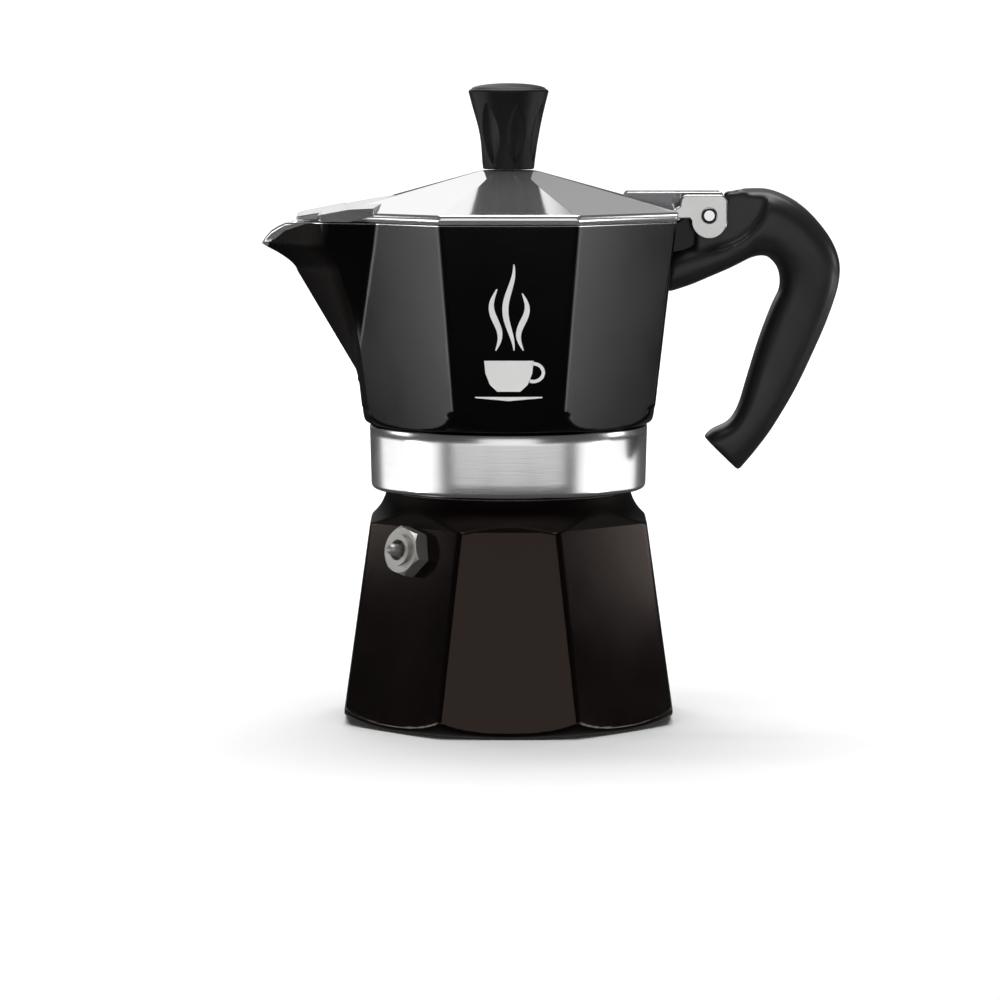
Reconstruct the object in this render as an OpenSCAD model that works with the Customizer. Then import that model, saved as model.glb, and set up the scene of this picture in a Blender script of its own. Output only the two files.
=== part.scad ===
// Stovetop moka pot: octagonal boiler, screwed-on collector, hinged lid and side handle.
// Origin: middle of the flat base. +Z up, +X towards the handle, -X towards the spout.

/* [Boiler] */
// Height of the faceted part, up to its shoulder
boiler_h = 50; // [40:0.5:60]
// Distance from the axis to the main facets at the base
base_apothem = 41.6; // [38:0.1:50]
// Half width of the main facets at the base
base_facet = 17.4; // [14:0.1:19]
// Distance from the axis to the main facets at the shoulder
waist_apothem = 34.7; // [34.2:0.1:42]
// Half width of the main facets at the shoulder
waist_facet = 11.9; // [10:0.1:14]
// Thickness of the floor
boiler_floor = 3; // [2:0.1:5]
// Thinnest part of the boiler wall
boiler_wall = 3.6; // [2.5:0.1:4.5]
// Radius that rounds the bottom edge
base_round = 8; // [5:0.5:10]

/* [Neck and thread] */
// Outer radius of the neck below the thread
neck_r = 30.6; // [24:0.1:31]
// Height of the neck, from the shoulder to the rim
neck_h = 20; // [18:0.5:26]
// Wall of the neck, from the thread root to the mouth
neck_wall = 2.8; // [2:0.1:3.5]
// Rise of the thread in one turn
thread_pitch = 3.5; // [2.9:0.05:4.2]
// Height of the thread ridges
thread_depth = 1.2; // [0.9:0.1:1.3]
// Turns of thread on each piece
thread_turns = 1.75; // [1:0.25:2]

/* [Collector] */
// Height from the bottom of the band to the rim
collector_h = 67.3; // [55:0.02:85]
// Height of the round band that covers the thread
band_h = 16; // [14.5:0.1:20]
// Wall of the band
band_wall = 3.7; // [2.4:0.1:5]
// Distance from the axis to the main facets, low down
collector_low_apothem = 36; // [36:0.1:40]
// Distance from the axis to the main facets at the rim
rim_apothem = 41.6; // [39:0.02:50]
// Half width of the main facets, low down
collector_low_facet = 12.7; // [11:0.1:15]
// Half width of the main facets at the rim
rim_facet = 16.7; // [14:0.1:18]
// Thickness of the collector wall
collector_wall = 2.4; // [1.6:0.1:3]
// Height of the hollow column inside, above the floor
column_h = 36; // [24:0.5:42]

/* [Spout] */
// Reach of the spout tip beyond the main facets of the rim
spout_out = 20.5; // [14:0.1:25]
// Height of the spout's foot below the rim
spout_drop = 39.5; // [34:0.5:42]
// Thickness of the spout wall
spout_wall = 2; // [1.4:0.1:2.6]

/* [Lid and knob] */
// Rise of the lid from its rim to the flat under the knob
lid_rise = 10.1; // [7:0.1:14]
// Thickness of the lid
lid_wall = 1.8; // [1.2:0.1:2.4]
// Height of the knob
knob_h = 21.5; // [18:0.1:26]
// Largest radius of the knob
knob_r = 10.05; // [8:0.05:12]
// Radius of the knob screw's shank
screw_r = 1.95; // [1.5:0.05:2.2]

/* [Hinge and handle] */
// Distance from the rim's facet to the hinge pin
hinge_out = 8.3; // [7.6:0.02:10]
// Radius of the hinge pin
pin_r = 1.3; // [1:0.05:1.6]
// Clearance around the pin in the lid's ears
pin_fit = 0.05; // [0.02:0.01:0.1]
// Half the width across the lid's two ears
ear_out = 11; // [10.5:0.1:13]
// Thickness of each ear
ear_t = 2.5; // [1.5:0.1:2.6]
// Half the thickness of the collector's hinge lug
lug_half = 3; // [2.4:0.1:3.5]
// Outward growth of the grip beyond its usual reach
grip_out = 0; // [-4:0.5:10]

/* [Filter parts] */
// Thickness of the funnel's sheet metal
sheet_t = 0.8; // [0.5:0.05:1]
// Depth of the coffee basket below the rim
basket_depth = 17.5; // [14:0.5:22]
// Thickness of the sealing ring
gasket_t = 2.5; // [2:0.1:3]
// Radius of each hole in the two strainers
hole_r = 0.6; // [0.4:0.05:0.7]
// Spacing of those holes
hole_pitch = 4.4; // [3.6:0.1:6]

/* [Safety valve] */
// Width across the valve's flats
valve_flats = 11; // [10:0.5:12]
// Height of the valve's centre below the shoulder
valve_drop = 5.6; // [5:0.1:10]
// How far the hexagon stands out
valve_proud = 4; // [3:0.1:5]
// Radius of the valve stem
stem_r = 1.5; // [1.2:0.05:1.6]

/* [Hidden] */
$fn = 64;
gap = 0.3;                 // usual clearance between pieces that move past each other
touch = 0.05;              // clearance where pieces rest on each other across a joint
far = 120;                 // larger than the pot, for cutting away a half space
main_sides = [0, 90, 180, 270];
corner_sides = [45, 135, 225, 315];

spout_reach = rim_apothem + spout_out;
hinge_reach = rim_apothem + hinge_out;
rim_z = boiler_h + neck_h;
thread_root = neck_r - 0.8;
mouth_r = thread_root - neck_wall;
thread_crest = thread_root + thread_depth;
band_bore = thread_crest + gap;
nut_crest = thread_root + gap;
thread_lead = 1.55;        // first turn above the lower edge of the band
thread_root_in = 0.4;      // how deep a thread ridge is set into its wall
band_r = band_bore + band_wall;
band_taper = 0.4;
flange_z = rim_z + sheet_t;
gasket_z = flange_z + touch;
plate_z = gasket_z + gasket_t + touch;
ceiling_z = plate_z + sheet_t;
band_z = boiler_h + 8.2;
cup_z = band_z + band_h;
floor_z = ceiling_z + 2.6;
collector_z = band_z + collector_h;
lid_z = collector_z + gap;
lid_rim_t = 2.2;
lid_top_z = lid_z + lid_rim_t + lid_rise;
knob_seat_r = 6.5;
knob_z = lid_top_z + 0.2;
pin_z = collector_z + 1.5;
ear_in = ear_out - ear_t;
cheek_out = ear_in - gap;
knuckle_r = pin_r + 2;
recess_r = 7.2;            // hollow in the handle that the hinge bridge swings in
ear_recess_r = 14.5;       // hollow in the handle's sides, beside the ears
bridge_half = 6.5;
notch_half = bridge_half + gap;
bridge_low = knuckle_r + 0.5;
bridge_t = 2;
lid_opens = 100;

function mix(a, b, t) = a + (b - a) * t;

// Cuts away the half space outside one tilted facet, whose distance goes from d0 to d1
module facet_cut(angle, z0, z1, d0, d1)
    rotate([0, 0, angle]) translate([d0, 0, z0])
        rotate([0, atan2(d1 - d0, z1 - z0), 0])
            translate([0, -far, -far]) cube([far, 2 * far, 2 * far]);

// Cuts eight facets on its children: a is the main facets' distance, w their half width
module faceted(z0, z1, a0, a1, w0, w1) {
    difference() {
        children();
        for (side = main_sides) facet_cut(side, z0, z1, a0, a1);
        for (side = corner_sides)
            facet_cut(side, z0, z1, (a0 + w0) / sqrt(2), (a1 + w1) / sqrt(2));
    }
}

// Closed skin over rings of equal length, each counter-clockwise about the way they go
module loft(rings) {
    n = len(rings[0]);
    last = len(rings) - 1;
    polyhedron(
        points = [for (ring = rings) each ring],
        faces = concat(
            [[for (i = [0 : n - 1]) i]],
            [[for (i = [n - 1 : -1 : 0]) last * n + i]],
            [for (r = [0 : last - 1], i = [0 : n - 1], half = [0, 1])
                let (a = r * n + i, b = r * n + (i + 1) % n)
                half == 0 ? [a, a + n, b + n] : [a, b + n, b]]));
}

// Helical ridge: wide at r_wide, narrow at r_narrow, fading out at both ends
module thread(r_wide, r_narrow, z0) {
    steps = 40;
    count = round(thread_turns * steps);
    wide = thread_pitch * 0.34;
    narrow = thread_pitch * 0.14;
    function ridge(i) =
        let (turn = 360 * i / steps,
             fade = min(1, i / 4, (count - i) / 4),
             tip = mix(r_wide, r_narrow, 0.3 + 0.7 * fade),
             z = z0 + thread_pitch * i / steps,
             inner = min(r_wide, tip),
             outer = max(r_wide, tip),
             low = r_wide < r_narrow ? wide : narrow,
             high = r_wide < r_narrow ? narrow : wide)
        [for (p = [[inner, -low], [inner, low], [outer, high], [outer, -high]])
            [p[0] * cos(turn), p[0] * sin(turn), z + p[1]]];
    loft([for (i = [0 : count]) ridge(i)]);
}

// Sheet perforated on a triangular grid, inside radius r
module perforation(r, z0, h) {
    rows = floor(r / hole_pitch);
    for (i = [-rows : rows], j = [-rows : rows]) {
        x = (i + j / 2) * hole_pitch;
        y = j * hole_pitch * sqrt(3) / 2;
        if (norm([x, y]) < r) translate([x, y, z0]) cylinder(r = hole_r, h = h, $fn = 16);
    }
}

// Turned cove between the shoulder and the neck, as an outline that is cut away
module shoulder_cut() {
    cove = 10.6;
    low = boiler_h - 0.9;      // the cove's lowest point, where it meets the facets
    difference() {
        translate([neck_r, low]) square([far, neck_h]);
        difference() {
            translate([neck_r - 1, low - 1]) square([cove + 1, cove + 1]);
            translate([neck_r + cove, low + cove]) circle(r = cove, $fn = 128);
        }
    }
}

module boiler() {
    flat_r = base_apothem - 3.9;
    cavity_low = base_apothem - boiler_wall;
    color([0.17, 0.15, 0.14]) difference() {
        union() {
            faceted(0, boiler_h, base_apothem, waist_apothem, base_facet, waist_facet)
                rotate_extrude() difference() {
                    union() {
                        square([flat_r, rim_z]);
                        translate([flat_r, base_round]) circle(r = base_round);
                        translate([0, base_round]) square([flat_r + base_round, boiler_h]);
                    }
                    translate([-far, 0]) square([far, far]);
                    shoulder_cut();
                    translate([0, band_z + gap]) square([far, far]);
                }
            cylinder(r = thread_root, h = rim_z);
            thread(thread_root - thread_root_in, thread_crest, band_z + thread_lead + thread_pitch / 2);
        }
        rotate_extrude() polygon([
            [0, boiler_floor], [cavity_low - 4, boiler_floor], [cavity_low, boiler_floor + 5],
            [waist_apothem - boiler_wall - 1.5, boiler_h - 4], [mouth_r, boiler_h + 3],
            [mouth_r, rim_z + 1], [0, rim_z + 1]]);
        on_valve() translate([0, 0, -12]) cylinder(r = valve_shank_r, h = 20);
    }
}

// Places the valve: its own +Z points out of the boiler, with zero on the facet
valve_side = 225;
valve_shank_r = 4;
module on_valve() {
    low = (base_apothem + base_facet) / sqrt(2);
    high = (waist_apothem + waist_facet) / sqrt(2);
    rotate([0, 0, valve_side])
        translate([mix(high, low, valve_drop / boiler_h), 0, boiler_h - valve_drop])
            rotate([0, 90 + atan2(high - low, boiler_h), 0]) children();
}

valve_bore = 2.6;
valve_in = 7.5;            // depth of the valve behind the facet
seat_t = 0.85;
disc_r = valve_bore - 0.1;
collar_at = 1.5;
module valve_body()
    color([0.55, 0.54, 0.52]) on_valve() difference() {
        union() {
            intersection() {
                rotate([0, 0, 15]) cylinder(r = valve_flats / sqrt(3), h = valve_proud, $fn = 6);
                rotate_extrude() polygon([
                    [0, 0], [valve_flats / 2 + 1, 0], [valve_flats / 2 + 1, valve_proud - 1],
                    [valve_flats / 2, valve_proud], [0, valve_proud]]);
            }
            translate([0, 0, -valve_in]) cylinder(r = valve_shank_r, h = valve_in + 1);
            cylinder(r = 3.8, h = valve_proud + 1);
        }
        translate([0, 0, seat_t - valve_in]) cylinder(r = valve_bore, h = 20);
        translate([0, 0, -valve_in - 1]) cylinder(r = 1.2, h = 4);
    }

seal_z = seat_t - valve_in;
disc_z = seal_z + 0.6;
module valve_seal()
    color([0.6, 0.2, 0.15]) on_valve() translate([0, 0, seal_z + touch])
        cylinder(r = disc_r, h = 0.6 - touch);

module valve_stem()
    color([0.62, 0.6, 0.58]) on_valve() {
        translate([0, 0, disc_z]) cylinder(r = disc_r, h = 0.8);
        translate([0, 0, disc_z]) cylinder(r = stem_r, h = valve_proud + 2.5 - disc_z);
        translate([0, 0, valve_proud + 2.5]) sphere(r = stem_r);
    }

module valve_spring() {
    wire = 0.33;
    low = disc_z + 0.8 + wire + 0.02;
    high = collar_at - wire - 0.02;
    turns = 5;
    steps = 14;
    coil_r = (stem_r + valve_bore) / 2;
    color([0.7, 0.7, 0.72]) on_valve() loft([for (i = [0 : turns * steps])
        let (turn = 360 * i / steps, z = mix(low, high, i / (turns * steps)))
        [for (k = [0 : 5]) let (r = coil_r + wire * cos(-60 * k))
            [r * cos(turn), r * sin(turn), z + wire * sin(60 * k)]]]);
}

module valve_collar()
    color([0.6, 0.58, 0.55]) on_valve() translate([0, 0, collar_at]) difference() {
        cylinder(r = valve_bore, h = 0.8);
        translate([0, 0, -1]) cylinder(r = stem_r + 0.1, h = 3);
    }

basket_r = mouth_r - gap;
basket_z = rim_z - basket_depth;
tube_r = 4.5;
tube_end = 6.5;
cone_h = 9;
module funnel_basket()
    color([0.75, 0.75, 0.76]) rotate_extrude() polygon([
        [basket_r, rim_z], [thread_root - 0.8, rim_z], [thread_root - 0.8, flange_z],
        [basket_r - sheet_t, flange_z], [basket_r - sheet_t, basket_z],
        [tube_r + sheet_t, basket_z - cone_h + sheet_t * 0.6], [tube_r, basket_z - cone_h - 2],
        [tube_r + sheet_t, basket_z - cone_h - 2], [tube_r + sheet_t, basket_z - cone_h],
        [basket_r, basket_z - sheet_t]]);

module funnel_strainer()
    color([0.7, 0.7, 0.7]) difference() {
        translate([0, 0, basket_z]) cylinder(r = basket_r - sheet_t, h = sheet_t);
        perforation(basket_r - sheet_t - 2, basket_z - 1, 3);
    }

module funnel_tube()
    color([0.75, 0.75, 0.76]) difference() {
        translate([0, 0, tube_end]) cylinder(r = tube_r, h = basket_z - cone_h - 0.5 - tube_end);
        translate([0, 0, tube_end - 1]) cylinder(r = tube_r - sheet_t, h = basket_z);
    }

module gasket()
    color([0.93, 0.91, 0.87]) rotate_extrude() translate([mouth_r - 2, gasket_z])
        square([band_bore - gap - mouth_r + 2, gasket_t]);

plate_r = mouth_r + 1;
module filter_plate()
    color([0.8, 0.8, 0.81]) difference() {
        translate([0, 0, plate_z]) cylinder(r = plate_r, h = sheet_t);
        perforation(mouth_r - 3.5, plate_z - 1, 3);
    }

bend_drop = 12.5;          // where the spout's straight keel starts to turn out, below the rim
lip_drop = 6.5;            // where the keel reaches the tip, below the rim
beak_out = 8.9;            // how far the tip overhangs that bend
tip_round = 1.2;
crease_foot_in = 4;        // crease between spout and cup: behind the rim's facet, and its half width
crease_rim_in = 8.6;
crease_foot_y = 13.2;
crease_rim_y = 25.5;

// Half outline of the spout in plan at height z, from the crease to the keel
function keel(z) =
    let (foot = collector_z - spout_drop, bend = collector_z - bend_drop, lip = collector_z - lip_drop,
         foot_x = mix(collector_low_apothem, rim_apothem, (foot - cup_z) / (collector_z - cup_z)))
    z < bend ? mix(foot_x, spout_reach - beak_out, max(0, (z - foot) / (bend - foot)))
    : z < lip ? spout_reach - beak_out + (beak_out - tip_round) * pow((z - bend) / (lip - bend), 1.6)
    : spout_reach - tip_round + tip_round * min(1, (z - lip) / 0.8);
function spout_ring(z, wall) =
    let (foot = collector_z - spout_drop,
         t = max(0, min(1, (z - foot) / spout_drop)),
         crease_x = rim_apothem - mix(crease_foot_in, crease_rim_in, t),
         crease_y = mix(crease_foot_y, crease_rim_y, t) - wall,
         tip_x = max(keel(z) - wall * 1.7, crease_x + 0.2),
         side = [for (p = [[0, 1], [0.48, 0.78], [0.7, 0.4], [0.86, 0.16], [1, 0.03]])
             [-mix(crease_x, tip_x, p[0]), -crease_y * p[1], z]],
         back = [-24, -crease_y, z])
    concat([back], side, [for (i = [4 : -1 : 0]) [side[i][0], -side[i][1], z]], [[-24, crease_y, z]]);

module spout_solid(wall, top) {
    foot = collector_z - spout_drop;
    levels = [0, 14, 27, 29.5, 31.5, 33, 34, 36.5, spout_drop + top];
    loft([for (h = levels) [for (i = [11 : -1 : 0]) spout_ring(foot + h, wall)[i]]]);
}

// Lug outline from the wall to the pin, seen from the front, and its boss
module knuckle(leg) {
    rotate([90, 0, 0]) linear_extrude(height = 2 * cheek_out, center = true) {
        translate([hinge_reach, pin_z]) circle(r = knuckle_r);
        polygon(leg);
    }
}
lug_leg = [
    [rim_apothem - 3, pin_z - 10], [rim_apothem - 3, collector_z - 0.2],
    [rim_apothem + 1, collector_z - 0.2], [hinge_reach - 2.2, pin_z + 2.4],
    [hinge_reach + 2.2, pin_z - 2.4], [hinge_reach - 2, pin_z - 8.5]];

module slab(half) translate([0, -half, 0]) cube([far, 2 * half, 2 * far]);

column_base_r = 5;
boss_r = 8;
cup_round = 5;
module collector() {
    inner_low = collector_low_apothem - collector_wall;
    inner_rim = rim_apothem - collector_wall;
    corner_trim = collector_wall * (sqrt(2) - 1);
    foot_r = collector_low_apothem - 3;
    color([0.08, 0.08, 0.08]) difference() {
        union() {
            difference() {
                union() {
                    faceted(cup_z, collector_z, collector_low_apothem, rim_apothem,
                            collector_low_facet, rim_facet)
                        rotate_extrude() difference() {
                            union() {
                                translate([0, cup_z]) square([foot_r, cup_round]);
                                translate([foot_r, cup_z + cup_round]) circle(r = cup_round);
                                translate([0, cup_z + cup_round]) square([foot_r + cup_round, 1]);
                                translate([0, cup_z + cup_round]) polygon([
                                    [0, 0], [foot_r + cup_round, 0], [rim_apothem + 12, 9],
                                    [rim_apothem + 12, collector_z - cup_z - cup_round],
                                    [0, collector_z - cup_z - cup_round]]);
                            }
                            translate([-far, 0]) square([far, 2 * far]);
                        }
                    spout_solid(0, 0);
                    intersection() {
                        knuckle(lug_leg);
                        slab(lug_half);
                    }
                }
                intersection() {
                    faceted(cup_z, collector_z, inner_low, inner_rim,
                            collector_low_facet - corner_trim, rim_facet - corner_trim)
                        translate([0, 0, floor_z]) cylinder(r = far, h = collector_h);
                    cylinder(r = rim_apothem + 4, h = 2 * far);
                }
                intersection() {
                    spout_solid(spout_wall, 2);
                    translate([-far, -far, floor_z]) cube([2 * far, 2 * far, far]);
                }
                lip_cut();
            }
            translate([0, 0, band_z]) cylinder(r1 = band_r - band_taper, r2 = band_r, h = band_h + 1);
            translate([0, 0, floor_z - 1]) cylinder(r = boss_r, h = 6);
        }
        translate([0, 0, band_z - 1]) cylinder(r = band_bore, h = plate_z - band_z + 1);
        translate([0, 0, plate_z - 1]) cylinder(r = plate_r + 0.1, h = ceiling_z - plate_z + 1);
        translate([0, 0, ceiling_z - 0.01]) cylinder(r1 = mouth_r - 3, r2 = column_base_r, h = 1.6);
        translate([0, 0, ceiling_z]) cylinder(r = column_base_r, h = 20);
        hinge_hole(0);
    }
    color([0.8, 0.8, 0.8]) thread(band_bore + thread_root_in, nut_crest, band_z + thread_lead);
}

// Drops the spout's lip towards its tip, as a cut seen from the front
module lip_cut()
    translate([0, far / 2, 0]) rotate([90, 0, 0]) linear_extrude(height = far) polygon([
        [-spout_reach - 5, collector_z - 5.7], [-spout_reach, collector_z - 5.7],
        [-spout_reach + 2.6, collector_z - 2], [-spout_reach + 6.1, collector_z - 0.2],
        [-spout_reach + 12, collector_z], [-spout_reach + 12, collector_z + 20],
        [-spout_reach - 5, collector_z + 20]]);

module column() {
    top = floor_z + column_h;
    bore = 2.8;
    color([0.78, 0.78, 0.79]) difference() {
        union() {
            translate([0, 0, ceiling_z + 1.6]) cylinder(r = column_base_r, h = 9);
            translate([0, 0, floor_z + 5]) cylinder(r1 = column_base_r + 1, r2 = 4.2, h = column_h - 5);
        }
        translate([0, 0, ceiling_z]) cylinder(r = bore, h = top - ceiling_z - 2);
        for (turn = [90, 270]) rotate([0, 0, turn]) translate([0, 0, top - 4.6])
            rotate([0, 90, 0]) cylinder(r = 1.8, h = 10);
    }
}

module hinge_hole(clearance)
    translate([hinge_reach, far, pin_z]) rotate([90, 0, 0])
        cylinder(r = pin_r + clearance, h = 2 * far);

module hinge_pin()
    color([0.75, 0.75, 0.76]) translate([hinge_reach, ear_out + 0.4, pin_z]) rotate([90, 0, 0])
        cylinder(r = pin_r, h = 2 * ear_out + 0.8);

// Stations of the grip: outer point, inner point (x, height above the rim) and half width
grip = [
    [[54, 7.7], [55, -12.2], 10.2], [[59.4, 8], [59.2, -9.9], 10.4], [[66, 7.7], [63.9, -8.7], 10.4],
    [[73.2, 4.1], [66.5, -10.3], 10], [[79.5, -2.5], [67.8, -12.3], 9.5],
    [[82.8, -9], [68.3, -14.9], 9], [[83, -15.3], [68, -17.5], 8.6],
    [[80.5, -23.8], [66.2, -21.3], 8.1], [[76.7, -32.9], [63.1, -29.5], 7.7],
    [[72, -42.8], [60.1, -39.3], 7.3], [[66.5, -52.1], [57.9, -46.6], 7],
    [[62.8, -57.2], [55.4, -50.5], 6.8], [[59.8, -60.9], [51.4, -52.5], 6.6],
    [[58, -63], [49.3, -54.5], 6.4]];
// Stations of the arm that bears on the collector wall: top point, bottom point and half width
arm = [
    [[35, -9.6], [35, -18.6], 8.6], [[45.2, -6.6], [45.2, -16.3], 8.8],
    [[49.6, -5.6], [50, -14.3], 9.2], [[54.5, -4], [55.5, -11.9], 9.8],
    [[60, 0], [60, -9.6], 10.2]];

grip_pin = 49.9;           // reach of the pin that the stations are given for

function rounded(v) = sign(v) * pow(abs(v), 0.55);
module limb(stations) {
    sides = 20;
    reach = hinge_reach - grip_pin;
    loft([for (s = stations)
        let (out = grip_out * max(0, min(1, (s[0][0] - 58) / 10)),
             mid = (s[0] + s[1]) / 2 + [reach + out, collector_z], half = (s[0] - s[1]) / 2)
        [for (k = [0 : sides - 1])
            let (turn = 360 * k / sides, up = rounded(sin(turn)))
            [mid[0] + half[0] * up, s[2] * rounded(cos(turn)), mid[1] + half[1] * up]]]);
}

module handle() {
    leg = [
        [hinge_reach - knuckle_r, pin_z - 0.5], [hinge_reach + 2, pin_z - 2.5],
        [hinge_reach + 2, pin_z - 11], [hinge_reach - knuckle_r, pin_z - 11]];
    color([0.07, 0.07, 0.07]) difference() {
        union() {
            difference() {
                union() {
                    limb(grip);
                    limb(arm);
                }
                translate([hinge_reach, notch_half, pin_z]) rotate([90, 0, 0])
                    cylinder(r = recess_r, h = 2 * notch_half);
                for (side = [-1, 1])
                    translate([hinge_reach + 0.2, side * (cheek_out + far / 2), pin_z + 6])
                        rotate([90, 0, 0]) cylinder(r = ear_recess_r, h = far, center = true);
                translate([hinge_reach, -notch_half, pin_z])
                    rotate([0, lid_opens - 90, 0]) translate([-10, 0, -4])
                        cube([10 + bridge_low + bridge_t + gap, 2 * notch_half, 40]);
                translate([0, 0, cup_z]) intersection() {
                    translate([0, -far, 0]) cube([hinge_reach, 2 * far, far]);
                    translate([0, 0, -cup_z]) difference() {
                        translate([0, -far, 0]) cube([far, 2 * far, 2 * far]);
                        facet_cut(0, cup_z, collector_z, collector_low_apothem, rim_apothem);
                    }
                }
            }
            knuckle(leg);
        }
        translate([0, 0, pin_z - 11.4]) intersection() {
            slab(lug_half + touch);
            cube([3 * far, 3 * far, 60], center = true);
            translate([0, -far, 0]) cube([hinge_reach + knuckle_r + 1, 2 * far, 60]);
        }
        hinge_hole(0);
    }
}

module lid_shell(drop, inset, top) {
    a = rim_apothem + 0.4 - inset;
    w = rim_facet + 0.1 - inset * (sqrt(2) - 1);
    faceted(lid_z, collector_z + 50, a, a, w, w)
        faceted(lid_z + lid_rim_t - drop, lid_top_z - drop, a, knob_seat_r, w, knob_seat_r * 0.414)
            translate([0, 0, lid_z - 1]) cylinder(r = far, h = top - lid_z + 1);
}

// Roof over the spout: a ridge that runs out to the tip and falls to each side
module spout_roof(drop, inset) {
    eave = lid_z - drop;
    ridge_z = lid_z + lid_rim_t + 1 - drop;
    tip = spout_reach - 9;
    function section(x, half, side_z, top_z) = [
        [-x, half - inset, eave - 0.01], [-x, half - inset, side_z],
        [-x, 0, top_z], [-x, inset - half, side_z], [-x, inset - half, eave - 0.01]];
    loft([
        section(tip - inset, 5, eave + 0.9, eave + 1.4),
        section(tip - 6, 12, eave + 1.3, ridge_z - 1),
        section(tip - 7 + 0.5, 20.5, eave + 1.7, ridge_z - 0.9),
        section(rim_apothem - 9, 26, eave + 2.2, ridge_z + 2),
        section(22, 26, eave + 3, ridge_z + 4)]);
}

ear_r = 4.5;
module lid() {
    ear = [
        [hinge_reach - ear_r, pin_z - 1.4], [hinge_reach - ear_r, lid_z + 0.4],
        [rim_apothem - 1.1, lid_z + 0.4], [rim_apothem - 1.1, lid_z + lid_rim_t + 0.1],
        [hinge_reach - 7.1, pin_z + 3.7], [hinge_reach - 5.6, pin_z + 5.2],
        [hinge_reach + 3, pin_z + 5.2], [hinge_reach + ear_r, pin_z + 3.7],
        [hinge_reach + ear_r, pin_z - 1.4]];
    plate_top = pin_z + bridge_low + bridge_t;
    bridge = [
        [29, lid_z + 5.5], [29, plate_top], [hinge_reach + 3.7, plate_top],
        [hinge_reach + 3.7, plate_top - bridge_t], [hinge_reach - 3.6, plate_top - bridge_t],
        [rim_apothem + 1.5, pin_z + 2], [rim_apothem + 1.5, lid_z + 0.2],
        [rim_apothem - 3.6, lid_z + 0.2]];
    color([0.83, 0.83, 0.84]) difference() {
        union() {
            difference() {
                union() {
                    lid_shell(0, 0, lid_top_z);
                    spout_roof(0, 0);
                }
                lid_shell(lid_wall, lid_wall, lid_top_z - lid_wall);
                spout_roof(1.4, 1.4);
                translate([-far, -far, 0]) cube([2 * far, 2 * far, lid_z]);
            }
            rotate([90, 0, 0]) linear_extrude(height = 2 * bridge_half, center = true)
                polygon(bridge);
            for (side = [-1, 1]) translate([0, side * (ear_in + ear_t / 2), 0])
                rotate([90, 0, 0]) linear_extrude(height = ear_t, center = true) {
                    translate([hinge_reach, pin_z - 1.4]) circle(r = ear_r);
                    polygon(ear);
                }
        }
        hinge_hole(pin_fit);
        translate([0, 0, lid_z]) cylinder(r = screw_r + 0.15, h = far);
    }
}

module knob() {
    foot_r = 6.4;
    waist = 0.55;
    color([0.06, 0.06, 0.06]) difference() {
        translate([0, 0, knob_z]) rotate_extrude() polygon(concat(
            [[0, 0], [foot_r, 0], [foot_r + 0.1, 2]],
            [for (t = [0.1 : 0.1 : 1]) [mix(foot_r, knob_r, mix(t, t * t, waist)), 2 + (knob_h - 5) * t]],
            [for (a = [15 : 15 : 75]) [knob_r - 2 + 2 * cos(a), knob_h - 3 + 2 * sin(a)]],
            [[knob_r * 0.5, knob_h - 0.3], [0, knob_h]]));
        for (i = [0 : 6]) rotate([0, 0, 284.5 + i * 360 / 7])
            translate([knob_r + 24.9, 0, knob_z + 9]) rotate([90, 0, 0])
                rotate_extrude($fn = 72) translate([24, 0]) circle(r = 2.6, $fn = 32);
        translate([0, 0, knob_z - 1]) cylinder(r = screw_r + 1.3, h = insert_h + 1);
    }
}

insert_h = 13;
module knob_insert()
    color([0.75, 0.6, 0.3]) translate([0, 0, knob_z]) difference() {
        cylinder(r = screw_r + 1.3, h = insert_h);
        translate([0, 0, -1]) cylinder(r = screw_r, h = insert_h - 1);
    }

washer_t = 0.8;
washer_z = lid_top_z - lid_wall - washer_t;
module knob_washer()
    color([0.72, 0.72, 0.74]) translate([0, 0, washer_z]) difference() {
        cylinder(r = screw_r + 2.4, h = washer_t);
        translate([0, 0, -1]) cylinder(r = screw_r + 0.15, h = 3);
    }

module knob_screw() {
    head_h = 2;
    color([0.7, 0.7, 0.72]) difference() {
        union() {
            translate([0, 0, washer_z - head_h]) cylinder(r = screw_r * 1.9, h = head_h);
            translate([0, 0, washer_z - 0.1]) cylinder(r = screw_r, h = knob_z + insert_h - 3 - washer_z);
        }
        for (turn = [0, 90]) rotate([0, 0, turn])
            translate([-2.2, -0.4, washer_z - head_h - 1]) cube([4.4, 0.8, 2]);
    }
}

boiler();
valve_body();
valve_stem();
valve_seal();
valve_spring();
valve_collar();
funnel_basket();
funnel_strainer();
funnel_tube();
gasket();
filter_plate();
collector();
column();
hinge_pin();
handle();
lid();
knob();
knob_insert();
knob_washer();
knob_screw();
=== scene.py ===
"""Looks of a stovetop moka pot: cast shells, moulded grips and studio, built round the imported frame."""
import logging
import math
from dataclasses import dataclass
from enum import Enum
from typing import Callable, Sequence

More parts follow.
